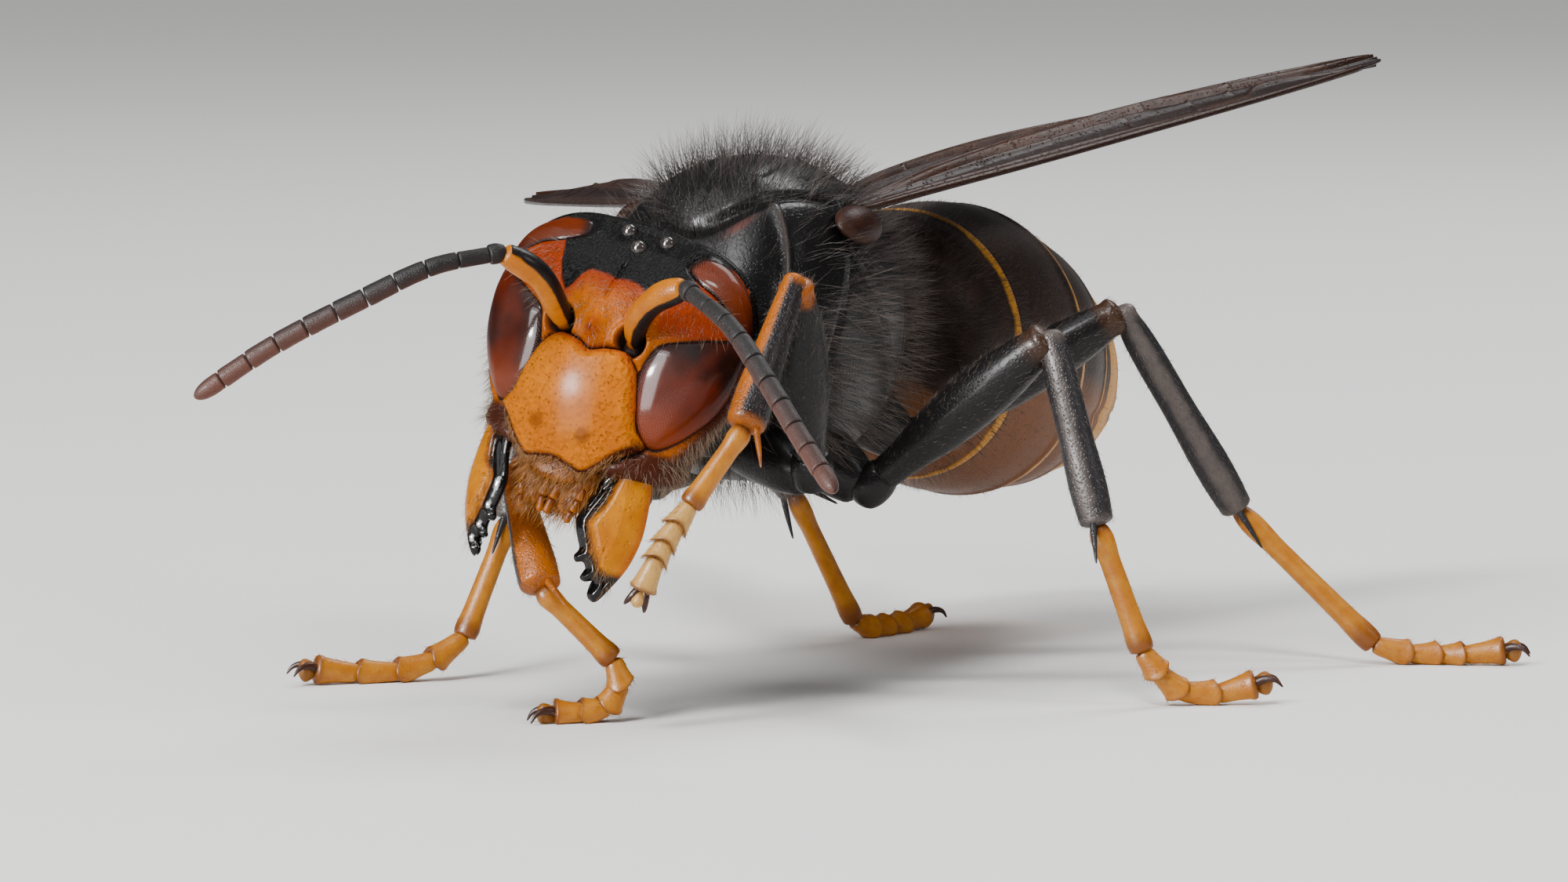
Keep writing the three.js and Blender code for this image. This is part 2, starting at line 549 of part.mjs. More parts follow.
function wingGeometry({ length, chord, thickness }, side, rows, crossRows) {
  const columns = VEIN_COLUMNS.length;
  const points = [];
  for (const face of [1, -1]) {
    for (let row = 0; row <= rows; row += 1) {
      const along = 1 - (1 - row / rows) ** 1.15;
      const width = chord * chordShare(along);
      const thin = THREE.MathUtils.lerp(1, 0.5, THREE.MathUtils.smoothstep(along, 0.8, 1));
      VEIN_COLUMNS.forEach((share, column) => {
        const inner = column > 0 && column < columns - 1;
        const raised = RAISED_COLUMNS.includes(column) || (crossRows.includes(row) && inner);
        const edge = inner ? 1 : 0.45;
        const half = (thickness / 2) * thin * edge + (raised && along < VEIN_END ? VEIN_RISE : 0);
        const arch = Math.sin(Math.PI * share) * Math.sin(Math.PI * Math.min(1, along + 0.08));
        const camber = WING_CAMBER * chord * arch;
        const across = -side * (share - 0.25) * width;
        points.push(new THREE.Vector3(across, along * length, camber + face * half));
      });
    }
  }
  const faces = [];
  const bottom = (rows + 1) * columns;
  const quad = (a, b, c, d) => faces.push(a, b, c, a, c, d);
  for (let row = 0; row < rows; row += 1) {
    for (let column = 0; column < columns - 1; column += 1) {
      const a = row * columns + column;
      quad(a, a + 1, a + columns + 1, a + columns);
      faces.push(bottom + a, bottom + a + columns + 1, bottom + a + 1);
      faces.push(bottom + a, bottom + a + columns, bottom + a + columns + 1);
    }
    const left = row * columns;
    const right = left + columns - 1;
    quad(left, left + columns, bottom + left + columns, bottom + left);
    quad(right, bottom + right, bottom + right + columns, right + columns);
  }
  for (let column = 0; column < columns - 1; column += 1) {
    const far = rows * columns + column;
    quad(column, bottom + column, bottom + column + 1, column + 1);
    quad(far, far + 1, bottom + far + 1, bottom + far);
  }
  const geometry = new THREE.BufferGeometry().setFromPoints(points);
  geometry.setIndex(faces);
  return geometry;
}

// Each wing by its swing from straight back, its rise, and the tilt of its chord, in degrees.
const FORE = { size: FOREWING, inset: 0, rows: 16, crossRows: [7, 9, 12] };
const HIND = { size: HINDWING, inset: 0.95, rows: 12, crossRows: [5] };
const WINGS = {
  forewing_left: { side: 1, swing: 12.5, rise: 7.3, tilt: -3, ...FORE },
  forewing_right: { side: -1, swing: 35, rise: -2.8, tilt: 6, ...FORE },
  hindwing_left: { side: 1, swing: 3, rise: 5.6, tilt: -3, ...HIND },
  hindwing_right: { side: -1, swing: 24, rise: -2.8, tilt: 6, ...HIND },
};

function buildWing(name, { side, size, swing, rise, tilt, inset, rows, crossRows }) {
  const [turn, lift, roll] = [swing, rise, tilt].map(THREE.MathUtils.degToRad);
  const group = new THREE.Group();
  const rootY = WING_ROOT.y + inset * HINDWING_BACKSET;
  group.position.set(BODY_X + side * (WING_ROOT.out - inset), rootY, WING_ROOT.z);
  group.rotation.set(lift, side * roll, -side * turn, 'ZXY');
  group.updateMatrix();
  root.add(group);
  const plate = toSolid(wingGeometry(size, side, rows, crossRows));
  const body = toSolid(thoraxGeometry(GAP), group.matrix.clone().invert());
  const cover = toSolid(tegulaGeometry(side, GAP), group.matrix.clone().invert());
  addPart(name, plate.subtract(body).subtract(cover), COLOURS.wing, group);
}

function legLift({ hip, knee, ankle }) {
  const thigh = vector(knee).sub(vector(hip));
  const shin = vector(ankle).sub(vector(knee));
  return thigh.cross(shin).normalize().toArray();
}

function mix(a, b, share) {
  return vector(a).lerp(vector(b), share).toArray();
}

// A spur at the end of a shin: a thin cone that runs beside the foot and spreads a little from it.
function spur({ knee, ankle }, lift, side) {
  const along = vector(ankle).sub(vector(knee)).normalize();
  const point = (forward, sideways, width) => {
    const place = vector(ankle).addScaledVector(along, forward);
    return [...place.addScaledVector(vector(lift), side * sideways).toArray(), width];
  };
  const stations = [point(-0.35, 0.12, 0.14), point(0, 0.3, 0.13), point(SPUR_LENGTH, 0.66, 0.05)];
  return toSolid(tube(stations, { sides: 6, perSpan: 1, lift: [0.3, 1, 0.2] }));
}

const SPUR_SIDES = { fore: [1], mid: [-1, 1], hind: [-1, 1] };

// Two hooked claws and the pad between them, at the end of the foot.
function clawSolids(before, toe, lift, floorFoot) {
  const along = vector(toe).sub(vector(before)).normalize();
  const across = floorFoot
    ? new THREE.Vector3().crossVectors(along, new THREE.Vector3(0, 0, 1)).normalize()
    : vector(RAISED_FOOT_ACROSS).projectOnPlane(along).normalize();
  const underside = new THREE.Vector3().crossVectors(along, across);
  const down = floorFoot ? new THREE.Vector3(0, 0, -1) : underside;
  const solids = [-1, 1].map((side) => {
    const point = (forward, aside, drop) => vector(toe)
      .addScaledVector(along, forward * CLAW_LENGTH)
      .addScaledVector(across, side * aside * CLAW_LENGTH)
      .addScaledVector(down, drop)
      .toArray();
    const low = floorFoot ? toe[2] - 0.05 : 0.22;
    const stations = [
      [...point(-0.25, 0.1, 0), 0.15], [...point(0.55, 0.5, 0.02), 0.12], [...point(0.85, 0.6, low), 0.05],
    ];
    return toSolid(tube(stations, { sides: 5, perSpan: 2, round: [0, 0], lift: across.toArray() }));
  });
  const pad = vector(toe).addScaledVector(along, 0.2).addScaledVector(down, 0.04).toArray();
  return [...solids, toSolid(ellipsoid(pad, [0.16, 0.16, 0.14], 6, 4))];
}

function buildLeg(name, leg) {
  const { root: start, hip, knee, ankle, foot } = leg;
  const lift = legLift(leg);
  const heel = foot[0];
  const toe = foot[foot.length - 1];
  const hipCut = mitre(start, hip, knee);
  const kneeCut = mitre(hip, knee, ankle);
  const ankleCut = mitre(knee, ankle, heel);
  const fore = name.startsWith('fore');
  const scale = fore ? 0.96 : 1;

  const coxa = toSolid(tube([
    [...mix(start, hip, -0.2), COXA_RADIUS], [...mix(start, hip, 0.5), COXA_RADIUS * 0.95],
    [...hip, COXA_RADIUS * 0.55],
  ], { sides: 9, perSpan: 1, lift }));
  const socket = coxa.subtract(toSolid(thoraxGeometry(GAP)));
  addPart(`leg_${name}_coxa`, cutAtJoint(socket, hip, hipCut, -1), COLOURS.black);

  const thighShares = [[0, 0.6], [0.12, 0.66], [0.4, 0.98], [0.66, 1], [0.9, 0.78], [1, 0.66]];
  const thigh = toSolid(tube(
    thighShares.map(([share, swell]) => {
      const radius = FEMUR_RADIUS * swell * scale;
      return [...mix(hip, knee, share), radius, radius * 0.95];
    }),
    { sides: 10, perSpan: 1, lift },
  ));
  const bounded = cutAtJoint(cutAtJoint(thigh, hip, hipCut, 1), knee, kneeCut, -1);
  addPart(`leg_${name}_femur`, bounded.subtract(toSolid(thoraxGeometry(GAP))), COLOURS.black);

  const shinShares = fore
    ? [[0, 0.78], [0.2, 0.85], [0.55, 1.08], [0.85, 1.22], [1, 1.08]]
    : [[0, 0.78], [0.14, 0.84], [0.5, 0.94], [0.85, 1.05], [1, 0.9]];
  const shin = toSolid(tube(
    shinShares.map(([share, swell]) => [...mix(knee, ankle, share), TIBIA_RADIUS * swell * scale]),
    { sides: 8, perSpan: 1, lift },
  ));
  const trimmed = cutAtJoint(cutAtJoint(shin, knee, kneeCut, 1), ankle, ankleCut, -1);
  const spurs = SPUR_SIDES[name.split('_')[0]].map((side) => spur(leg, lift, side));
  const spurred = joined([trimmed, ...spurs]);
  addPart(`leg_${name}_tibia`, spurred, fore ? COLOURS.orange : COLOURS.tibia);

  const joints = [ankle, ...foot];
  const rings = [];
  for (let i = 0; i < joints.length - 1; i += 1) {
    const short = i > 0;
    const swell = short ? 1.08 : 1;
    rings.push([...mix(joints[i], joints[i + 1], 0.06), TARSUS_RADIUS * (short ? 0.8 : 0.95)]);
    rings.push([...mix(joints[i], joints[i + 1], 0.86), TARSUS_RADIUS * swell]);
  }
  const floorFoot = toe[2] < 1;
  const sole = toSolid(tube(rings, { sides: 8, perSpan: 1, lift }));
  const whole = joined([sole, ...clawSolids(foot[foot.length - 2], toe, lift, floorFoot)]);
  const tarsus = cutAtJoint(whole, ankle, ankleCut, 1).intersect(behind([0, 0, 0], [0, 0, -1]));
  addPart(`leg_${name}_tarsus`, tarsus, COLOURS.tarsus);
}

buildHead();
Object.entries(ANTENNAE).forEach(([side, antenna]) => buildAntenna(side, antenna));
buildThorax();
buildTegula('tegula_left', 1);
buildTegula('tegula_right', -1);
buildGaster();
Object.entries(WINGS).forEach(([name, wing]) => buildWing(name, wing));
Object.entries(LEGS).forEach(([name, leg]) => buildLeg(name, leg));

export default root;
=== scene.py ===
"""The looks of a life-size yellow-legged hornet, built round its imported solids.

Shapes are worked out in millimetres in the stance frame, in which the hornet faces -Y, its own left
side is +X and the floor is z = 0. The head has a frame of its own, turned and placed in the stance frame.
"""

import math

import bpy
import numpy as np
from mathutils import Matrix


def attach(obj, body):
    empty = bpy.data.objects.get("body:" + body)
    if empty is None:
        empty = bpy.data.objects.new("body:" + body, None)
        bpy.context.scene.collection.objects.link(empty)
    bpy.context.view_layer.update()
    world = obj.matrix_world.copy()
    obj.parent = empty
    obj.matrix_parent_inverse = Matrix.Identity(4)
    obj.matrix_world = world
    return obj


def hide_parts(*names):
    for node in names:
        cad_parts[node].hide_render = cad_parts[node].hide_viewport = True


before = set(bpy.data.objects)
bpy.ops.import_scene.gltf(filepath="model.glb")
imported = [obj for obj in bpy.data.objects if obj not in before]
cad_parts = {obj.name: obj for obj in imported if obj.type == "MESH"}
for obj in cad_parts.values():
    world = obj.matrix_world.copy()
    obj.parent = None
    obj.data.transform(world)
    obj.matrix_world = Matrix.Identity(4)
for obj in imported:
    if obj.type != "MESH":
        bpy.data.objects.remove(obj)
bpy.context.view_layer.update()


# Camera. It stands in front of the hornet's left side, a little above the floor, and looks at the face.
# It keeps the long lens of a close-up, so the far wing and the far legs are hardly smaller.
MM = 0.001
STANCE_SHIFT = np.array([2.98, -8.62, 0.0])
PICTURE_WIDTH = 2000
FOCAL_PIXELS = 9900
CAMERA_PLACE = np.array([63.15, -135.43, 18.57])
CAMERA_AZIMUTH = 25
CAMERA_DOWN = 5


def in_scene(name, data):
    made = bpy.data.objects.new(name, data)
    bpy.context.scene.collection.objects.link(made)
    return made


camera_data = bpy.data.cameras.new("camera")
camera_data.sensor_width = 36
camera_data.lens = camera_data.sensor_width * FOCAL_PIXELS / PICTURE_WIDTH
camera_data.clip_start = 0.005
camera_data.clip_end = 20
camera = in_scene("camera", camera_data)
camera.location = (CAMERA_PLACE + STANCE_SHIFT) * MM
camera.rotation_euler = (math.radians(90 - CAMERA_DOWN), 0, math.radians(CAMERA_AZIMUTH))
bpy.context.scene.camera = camera


# Studio. A pale matt floor that runs past the frame, under a wide soft light from above. Small lamps add the
# highlights: an upright strip in front, a key lamp, one at the side and one behind for wings and hairs.
class Value:
    """One output of a material's node, so that shader maths reads as plain sums."""

    def __init__(self, finish, socket):
        self.finish = finish
        self.socket = socket

    def math(self, operation, *values):
        return self.finish.node("ShaderNodeMath", {"operation": operation}, dict(enumerate(values)))

    def __add__(self, other):
        return self.math("ADD", self, other)

    def __sub__(self, other):
        return self.math("SUBTRACT", self, other)

    def __rsub__(self, other):
        return self.math("SUBTRACT", other, self)

    def __mul__(self, other):
        return self.math("MULTIPLY", self, other)

    __radd__ = __add__
    __rmul__ = __mul__

    def most(self, other):
        return self.math("MAXIMUM", self, other)

    def size(self):
        return self.math("ABSOLUTE", self)

    def cosine(self):
        return self.math("COSINE", self)

    def rise(self, low, high):
        """0 below low and 1 above high, with a soft step between. Where high is the lower one it falls."""
        sockets = {"Value": self, "From Min": min(low, high), "From Max": max(low, high)}
        sockets.update({"To Min": 1.0, "To Max": 0.0} if low > high else {})
        settings = {"interpolation_type": "SMOOTHSTEP", "clamp": True}
        return self.finish.node("ShaderNodeMapRange", settings, sockets)


class Finish:
    """A material with one Principled shader, whose plain values are given when it is made."""

    def __init__(self, name, **constants):
        self.material = bpy.data.materials.new(name)
        self.material.use_nodes = True
        self.tree = self.material.node_tree
        self.shader = self.tree.nodes["Principled BSDF"]
        for socket, value in constants.items():
            self.shader.inputs[socket.replace("_", " ")].default_value = value

    def node(self, kind, settings=None, sockets=None, out=0):
        """Adds a node: its settings first, then the value or link of each named socket."""
        made = self.tree.nodes.new(kind)
        for key, value in (settings or {}).items():
            setattr(made, key, value)
        for key, value in (sockets or {}).items():
            self.feed(made.inputs[key], value)
        return Value(self, made.outputs[out])

    def feed(self, socket, value):
        if isinstance(value, Value):
            self.tree.links.new(value.socket, socket)
        else:
            socket.default_value = (*value, 1.0) if socket.type == "RGBA" and len(value) == 3 else value

    def field(self, name):
        """A number that the piece's mesh carries at each point."""
        return self.node("ShaderNodeAttribute", {"attribute_name": name}, out="Fac")

    def speckle(self, kind, size_mm, sockets, out):
        """A pattern of the object's own place, whose marks are about size_mm across."""
        place = self.node("ShaderNodeTexCoord", out="Object")
        return self.node(kind, {}, {"Vector": place, "Scale": 1 / (size_mm * MM), **sockets}, out=out)

    def noise(self, size_mm, detail=3.0):
        return self.speckle("ShaderNodeTexNoise", size_mm, {"Detail": detail, "Roughness": 0.55}, 0)

    def grains(self, size_mm):
        """Distance to the nearest of many scattered points, 0 at a point and about 1 between them."""
        return self.speckle("ShaderNodeTexVoronoi", size_mm, {}, "Distance")

    def wobble(self, size_mm, reach):
        """Noise about 0, that moves the edge of a marking by up to half of reach."""
        return (self.noise(size_mm) - 0.5) * reach

    def mix(self, share, low, high):
        return self.node("ShaderNodeMix", {"data_type": "RGBA"}, {0: share, 6: low, 7: high}, out=2)

    def mottled(self, size_mm, low, high):
        """Soft spots of two colours."""
        return self.mix(self.noise(size_mm).rise(0.3, 0.7), low, high)

    def layers(self, colour, *coats):
        """A colour with others laid over it, each where its share says."""
        for share, over in coats:
            colour = self.mix(share, colour, over)
        return colour

    def fine_grain(self, size_mm, depth_mm):
        self.bump(self.grains(size_mm).rise(0.0, 0.5) + self.noise(0.04) * 0.3, depth_mm)

    def bump(self, height, depth_mm):
        sockets = {"Height": height, "Distance": depth_mm * MM, "Strength": 1.0}
        self.feed(self.shader.inputs["Normal"], self.node("ShaderNodeBump", {}, sockets))

    def paint(self, **links):
        for socket, value in links.items():
            self.feed(self.shader.inputs[socket.replace("_", " ")], value)


FLOOR_REACH = 3.0
floor_mesh = bpy.data.meshes.new("floor")
floor_corners = [(-1, -1, 0), (1, -1, 0), (1, 1, 0), (-1, 1, 0)]
floor_mesh.from_pydata([[FLOOR_REACH * a for a in corner] for corner in floor_corners], [], [(0, 1, 2, 3)])
floor = in_scene("floor", floor_mesh)
floor_finish = Finish("floor", Roughness=0.9, Specular_IOR_Level=0.2)
floor_finish.paint(Base_Color=(0.93, 0.92, 0.9))
floor_mesh.materials.append(floor_finish.material)

sky = bpy.data.lights.new("sky", "SUN")
sky.energy = 1.25
sky.angle = math.radians(50)
in_scene("sky", sky).rotation_euler = (math.radians(18), 0, math.radians(-30))

world = bpy.data.worlds.new("studio")
bpy.context.scene.world = world
world.use_nodes = True
backdrop = world.node_tree.nodes["Background"]
backdrop.inputs["Color"].default_value = (0.9, 0.94, 1.0, 1.0)
backdrop.inputs["Strength"].default_value = 0.08

# Each lamp by its azimuth round the hornet, height angle, distance, width and height in metres, and watts.
# The strip and the spark show only as gleams on eyes and face.
LAMPS = {
    "lamp_strip": (-19, 13, 0.2, 0.06, 0.15, 1.1),
    "lamp_spark": (-23, 17, 0.2, 0.02, 0.02, 0.9),
    "lamp_front": (-16, 36, 0.22, 0.08, 0.05, 0.26),
    "lamp_key": (5, 55, 0.22, 0.04, 0.04, 0.24),
    "lamp_left": (88, 34, 0.26, 0.07, 0.07, 0.12),
    "lamp_back": (170, 52, 0.26, 0.12, 0.08, 0.34),
}
for lamp_name, (azimuth, height, distance, width, tallness, watts) in LAMPS.items():
    lamp_data = bpy.data.lights.new(lamp_name, "AREA")
    lamp_data.shape = "RECTANGLE"
    lamp_data.size = width
    lamp_data.size_y = tallness
    lamp_data.energy = watts
    lamp = in_scene(lamp_name, lamp_data)
    way, up = math.radians(azimuth), math.radians(height)
    flat = math.cos(up) * distance
    lamp.location = (math.sin(way) * flat, -math.cos(way) * flat, math.sin(up) * distance)
    lamp.rotation_euler = (math.pi / 2 - up, 0, way)
    lamp.visible_diffuse = lamp_name not in ("lamp_strip", "lamp_spark")


# Head capsule. The hard shell that carries the eyes, feelers and jaws: black and finely grained on the
# crown, orange on the face and in the bays of the eyes, brown on the cheeks. Real ones are one moulded plate.
def unit(vectors):
    return vectors / np.maximum(np.linalg.norm(vectors, axis=-1, keepdims=True), 1e-12)


def turn(axis, degrees):
    """Matrix that turns about axis 0, 1 or 2."""
    c, s = math.cos(math.radians(degrees)), math.sin(math.radians(degrees))
    a, b = [(1, 2), (2, 0), (0, 1)][axis]
    matrix = np.eye(3)
    matrix[a, a], matrix[a, b], matrix[b, a], matrix[b, b] = c, -s, s, c
    return matrix


HEAD_PLACE = np.array([-3.29, -0.5, 7.19])
HEAD_TURN = turn(2, 1.1) @ turn(0, -9.3) @ turn(1, 15)


def from_head(points):
    """Points or arrays of points of the head's frame, in the stance frame."""
    return np.asarray(points) @ HEAD_TURN.T + HEAD_PLACE


def smooth_through(places, values, x):
    """A curve through values at places: cubic pieces, with the slope of the neighbours at each knot."""
    places, values, x = np.asarray(places, float), np.asarray(values, float), np.asarray(x, float)
    slopes = np.gradient(values, places, axis=0)
    cell = np.clip(np.searchsorted(places, x, side="right") - 1, 0, len(places) - 2)
    width = places[cell + 1] - places[cell]
    t = np.clip((x - places[cell]) / width, 0, 1)
    if values.ndim > 1:
        t, width = t[..., None], width[..., None]
    start = (1 + 2 * t) * (1 - t) ** 2 * values[cell] + t * (1 - t) ** 2 * width * slopes[cell]
    return start + t**2 * (3 - 2 * t) * values[cell + 1] + t**2 * (t - 1) * width * slopes[cell + 1]


def soft_step(x, low, high):
    """0 below low, 1 above high, and 3t2 - 2t3 between."""
    t = np.clip((np.asarray(x, float) - low) / (high - low), 0, 1)
    return t * t * (3 - 2 * t)


def hill(x, width):
    """A bell: 1 at 0, falling to about a third at width."""
    return np.exp(-((np.asarray(x) / width) ** 2))


def mound(x, wide, y, tall):
    """A bell in two dimensions, that falls to about a third at wide and at tall."""
    return hill(np.hypot(x / wide, y / tall), 1.0)


def round_angles(count):
    return np.arange(count) / count * 2 * np.pi


def outward(grid, from_middle=None):
    """Unit normals of a grid of rings, from the differences along and round it, that point outwards."""
    around = np.roll(grid, -1, 1) - np.roll(grid, 1, 1)
    normal = unit(np.cross(np.gradient(grid, axis=0), around))
    away = grid - grid.mean(1, keepdims=True) if from_middle is None else from_middle
    return normal * np.sign(np.einsum("ijk,ijk->ij", normal, away))[..., None]


def path_shares(points):
    """Share of a line's length at each of its points, and the length."""
    steps = np.concatenate([[0], np.cumsum(np.linalg.norm(np.diff(points, axis=0), axis=1))])
    return steps / steps[-1], steps[-1]


def smooth_loop(knots, count):
    """A closed smooth curve through knots, as count points at even steps of knot number."""
    knots = np.asarray(knots, float)
    padded = np.vstack([knots[-3:], knots, knots[:4]])
    numbers = np.arange(len(padded)) - 3
    return smooth_through(numbers, padded, np.arange(count) / count * len(knots))


def distance_to(line, points, closed=True):
    """Distance of each point to a line of straight pieces, all in two dimensions."""
    ends = np.roll(line, -1, axis=0) if closed else line[1:]
    starts = line if closed else line[:-1]
    best = np.full(points.shape[:-1], 1e9)
    for a, b in zip(starts, ends):
        along = np.clip(((points - a) @ (b - a)) / max((b - a) @ (b - a), 1e-12), 0, 1)
        best = np.minimum(best, np.linalg.norm(points - a - along[..., None] * (b - a), axis=-1))
    return best


def inside(loop, points):
    """True where a point lies inside a closed loop, by counting the sides crossed to its right."""
    crossings = np.zeros(points.shape[:-1], int)
    for a, b in zip(loop, np.roll(loop, -1, axis=0)):
        spans = (a[1] > points[..., 1]) != (b[1] > points[..., 1])
        slope = (b[0] - a[0]) / (b[1] - a[1] + 1e-12)
        crossings += spans & (points[..., 0] < a[0] + slope * (points[..., 1] - a[1]))
    return crossings % 2 == 1


def beyond(loop, points):
    """Distance of each point to a closed loop, below 0 inside it."""
    return distance_to(loop, points) * np.where(inside(loop, points), -1, 1)


class Shells:
    """Closed surfaces gathered into one piece, with the numbers that their points carry."""

    def __init__(self):
        self.points, self.faces, self.fields, self.unwraps, self.total = [], [], [], [], 0

    def add(self, grid, fields=None):
        """grid is rows of closed rings. A point at each end's middle closes it. fields are like the grid."""
        rows, columns = grid.shape[:2]
        across = np.arange(columns)
        ahead = (across + 1) % columns
        base = (np.arange(rows - 1) * columns)[:, None]
        quads = np.stack([base + across, base + ahead, base + columns + ahead, base + columns + across], -1)
        quads = quads.reshape(-1, 4)
        first, last = rows * columns, rows * columns + 1
        end = (rows - 1) * columns
        caps = np.vstack([
            np.stack([np.full(columns, first), ahead, across], -1),
            np.stack([np.full(columns, last), end + across, end + ahead], -1),
        ])
        flat = np.vstack([grid.reshape(-1, 3), grid[0].mean(0), grid[-1].mean(0)])
        corners = flat[np.vstack([quads[:, :3], quads[:, [0, 2, 3]], caps])] - flat.mean(0)
        if np.einsum("ij,ij->i", corners[:, 0], np.cross(corners[:, 1], corners[:, 2])).sum() < 0:
            quads, caps = quads[:, ::-1], caps[:, ::-1]
        self.points.append(flat)
        self.faces += [quads + self.total, caps + self.total]
        self.total += len(flat)
        carried = {}
        for name, number in (fields or {}).items():
            number = np.broadcast_to(number, (rows, columns))
            carried[name] = np.concatenate([number.ravel(), [number[0].mean(), number[-1].mean()]])
        self.fields.append((len(flat), carried))

    def add_faces(self, points, faces, fields, unwrap):
        """Adds points whose faces are worked out already, with their places on the unwrapped skin."""
        self.points.append(points)
        self.faces += [f + self.total for f in faces]
        self.total += len(points)
        self.fields.append((len(points), fields))
        self.unwraps.append(unwrap)

    def piece(self, name, finish, placed=lambda points: points):
        """Makes the Blender object, in metres, at its place in the stance frame."""
        mesh = bpy.data.meshes.new(name)
        points = (placed(np.vstack(self.points)) + STANCE_SHIFT) * MM
        mesh.vertices.add(len(points))
        mesh.vertices.foreach_set("co", points.ravel())
        corners = np.concatenate([f.ravel() for f in self.faces])
        sizes = np.concatenate([np.full(len(f), f.shape[1]) for f in self.faces])
        mesh.loops.add(len(corners))
        mesh.loops.foreach_set("vertex_index", corners)
        mesh.polygons.add(len(sizes))
        mesh.polygons.foreach_set("loop_start", np.concatenate([[0], np.cumsum(sizes)[:-1]]))
        mesh.polygons.foreach_set("use_smooth", np.full(len(sizes), True))
        mesh.update(calc_edges=True)
        for field in sorted({key for _, carried in self.fields for key in carried}):
            numbers = [np.broadcast_to(carried.get(field, 0.0), count) for count, carried in self.fields]
            layer = mesh.attributes.new(field, "FLOAT", "POINT")
            layer.data.foreach_set("value", np.concatenate(numbers).astype(np.float32))
        if self.unwraps:
            unwrap = mesh.uv_layers.new(name="OFBake")
            unwrap.data.foreach_set("uv", np.concatenate(self.unwraps)[corners].astype(np.float32).ravel())
        mesh.materials.append(finish.material)
        return in_scene(name, mesh)


def fit(piece, slot, *nodes):
    """Lets a piece ride on the body and puts it in the place of the solids named. slot is not used."""
    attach(piece, "root")
    if nodes:
        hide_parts(*nodes)


HEAD_HALF_WIDTH = 2.68
HEAD_FRONT = 1.32
HEAD_BACK = 1.05
HEAD_LOW = -2.4
HEAD_TOP = 2.45
HEAD_SQUARENESS = 2.3
# Width, front depth and back depth of the capsule, as shares of the full ones, at shares of its height.
CAPSULE_HEIGHTS = [-0.03, 0, 0.173, 0.368, 0.585, 0.784, 0.903, 0.969, 1.012]
CAPSULE_SHARES = np.array([
    [0, 0, 0], [0.56, 0.84, 0.42], [0.82, 0.97, 0.74], [0.965, 1, 0.92], [1, 0.985, 1],
    [0.945, 0.83, 0.95], [0.82, 0.47, 0.72], [0.6, 0.18, 0.48], [0, 0, 0],
])


def capsule_excess(p):
    """Below 0 inside the capsule: the sum of |x| / width and |y| / depth, to a power, less 1."""
    height = (p[..., 2] - HEAD_LOW) / (HEAD_TOP - HEAD_LOW)
    shares = np.sqrt(np.maximum(smooth_through(CAPSULE_HEIGHTS, CAPSULE_SHARES**2, height), 1e-6))
    within = (height > CAPSULE_HEIGHTS[0]) & (height < CAPSULE_HEIGHTS[-1])
    shares = shares * np.where(within, 1, 1e-3)[..., None]
    depth = np.where(p[..., 1] < 0, HEAD_FRONT * shares[..., 1], HEAD_BACK * shares[..., 2])
    across = np.abs(p[..., 0]) / (HEAD_HALF_WIDTH * shares[..., 0])
    return across**HEAD_SQUARENESS + (np.abs(p[..., 1]) / depth) ** HEAD_SQUARENESS - 1


def reach_capsule(start, direction, furthest=5.0):
    """Where rays from inside the capsule leave it, by halving the stretch in which that happens."""
    near = np.zeros(np.broadcast_shapes(start.shape, direction.shape)[:-1])
    far = np.full(near.shape, furthest)
    for _ in range(26):
        middle = (near + far) / 2
        out = capsule_excess(start + middle[..., None] * direction) > 0
        near, far = np.where(out, near, middle), np.where(out, middle, far)
    return start + near[..., None] * direction


# Outline of a compound eye across its axis, as backwards and up: kidney-shaped, with a deep bay in front.
EYE_OUTLINE = smooth_loop([
    (-0.13, 0.36), (-0.25, 0.06), (-0.3, -0.3), (-0.25, -0.78), (-0.12, -1.2), (0.1, -1.52), (0.38, -1.6),
    (0.68, -1.38), (1.0, -1.0), (1.3, -0.55), (1.5, 0.05), (1.6, 0.6), (1.58, 1.1), (1.43, 1.58), (1.2, 1.93),
    (0.95, 2.16), (0.64, 2.22), (0.4, 2.09), (0.26, 1.92), (0.36, 1.76), (0.62, 1.6), (0.88, 1.36),
    (1.06, 1.08), (1.0, 0.85), (0.6, 0.72), (0.16, 0.54),
], 220)
EYE_MIDDLE = np.array([1.45, 0.95])

# Outline of the clypeus from the front: straight across the top, wide at the sides, two lobes below.
CLYPEUS_HALF = [
    (0.35, 0.0), (0.72, 0.02), (1.04, -0.28), (1.24, -0.85), (1.34, -1.3), (1.56, -1.6), (1.24, -1.92),
    (0.98, -2.2), (0.66, -2.46), (0.3, -2.4),
]
CLYPEUS_OUTLINE = smooth_loop(
    [(0, -0.12), *CLYPEUS_HALF, (0, -2.34), *[(-x, z) for x, z in CLYPEUS_HALF[::-1]]], 240)

SOCKET_PLACE = np.array([0.78, 0.26])
# Lower edge of the black crown: its height over the face at places out from the middle.
CROWN_EDGE = [
    (0, 1.34), (0.4, 1.36), (0.68, 1.24), (0.8, 1.02), (0.9, 0.86), (1.02, 0.96), (1.24, 1.28), (1.4, 1.65),
    (1.6, 1.95), (2, 2.3), (3, 2.6),
]
HEAD_MIDDLE = np.array([0, -0.15, 0.15])

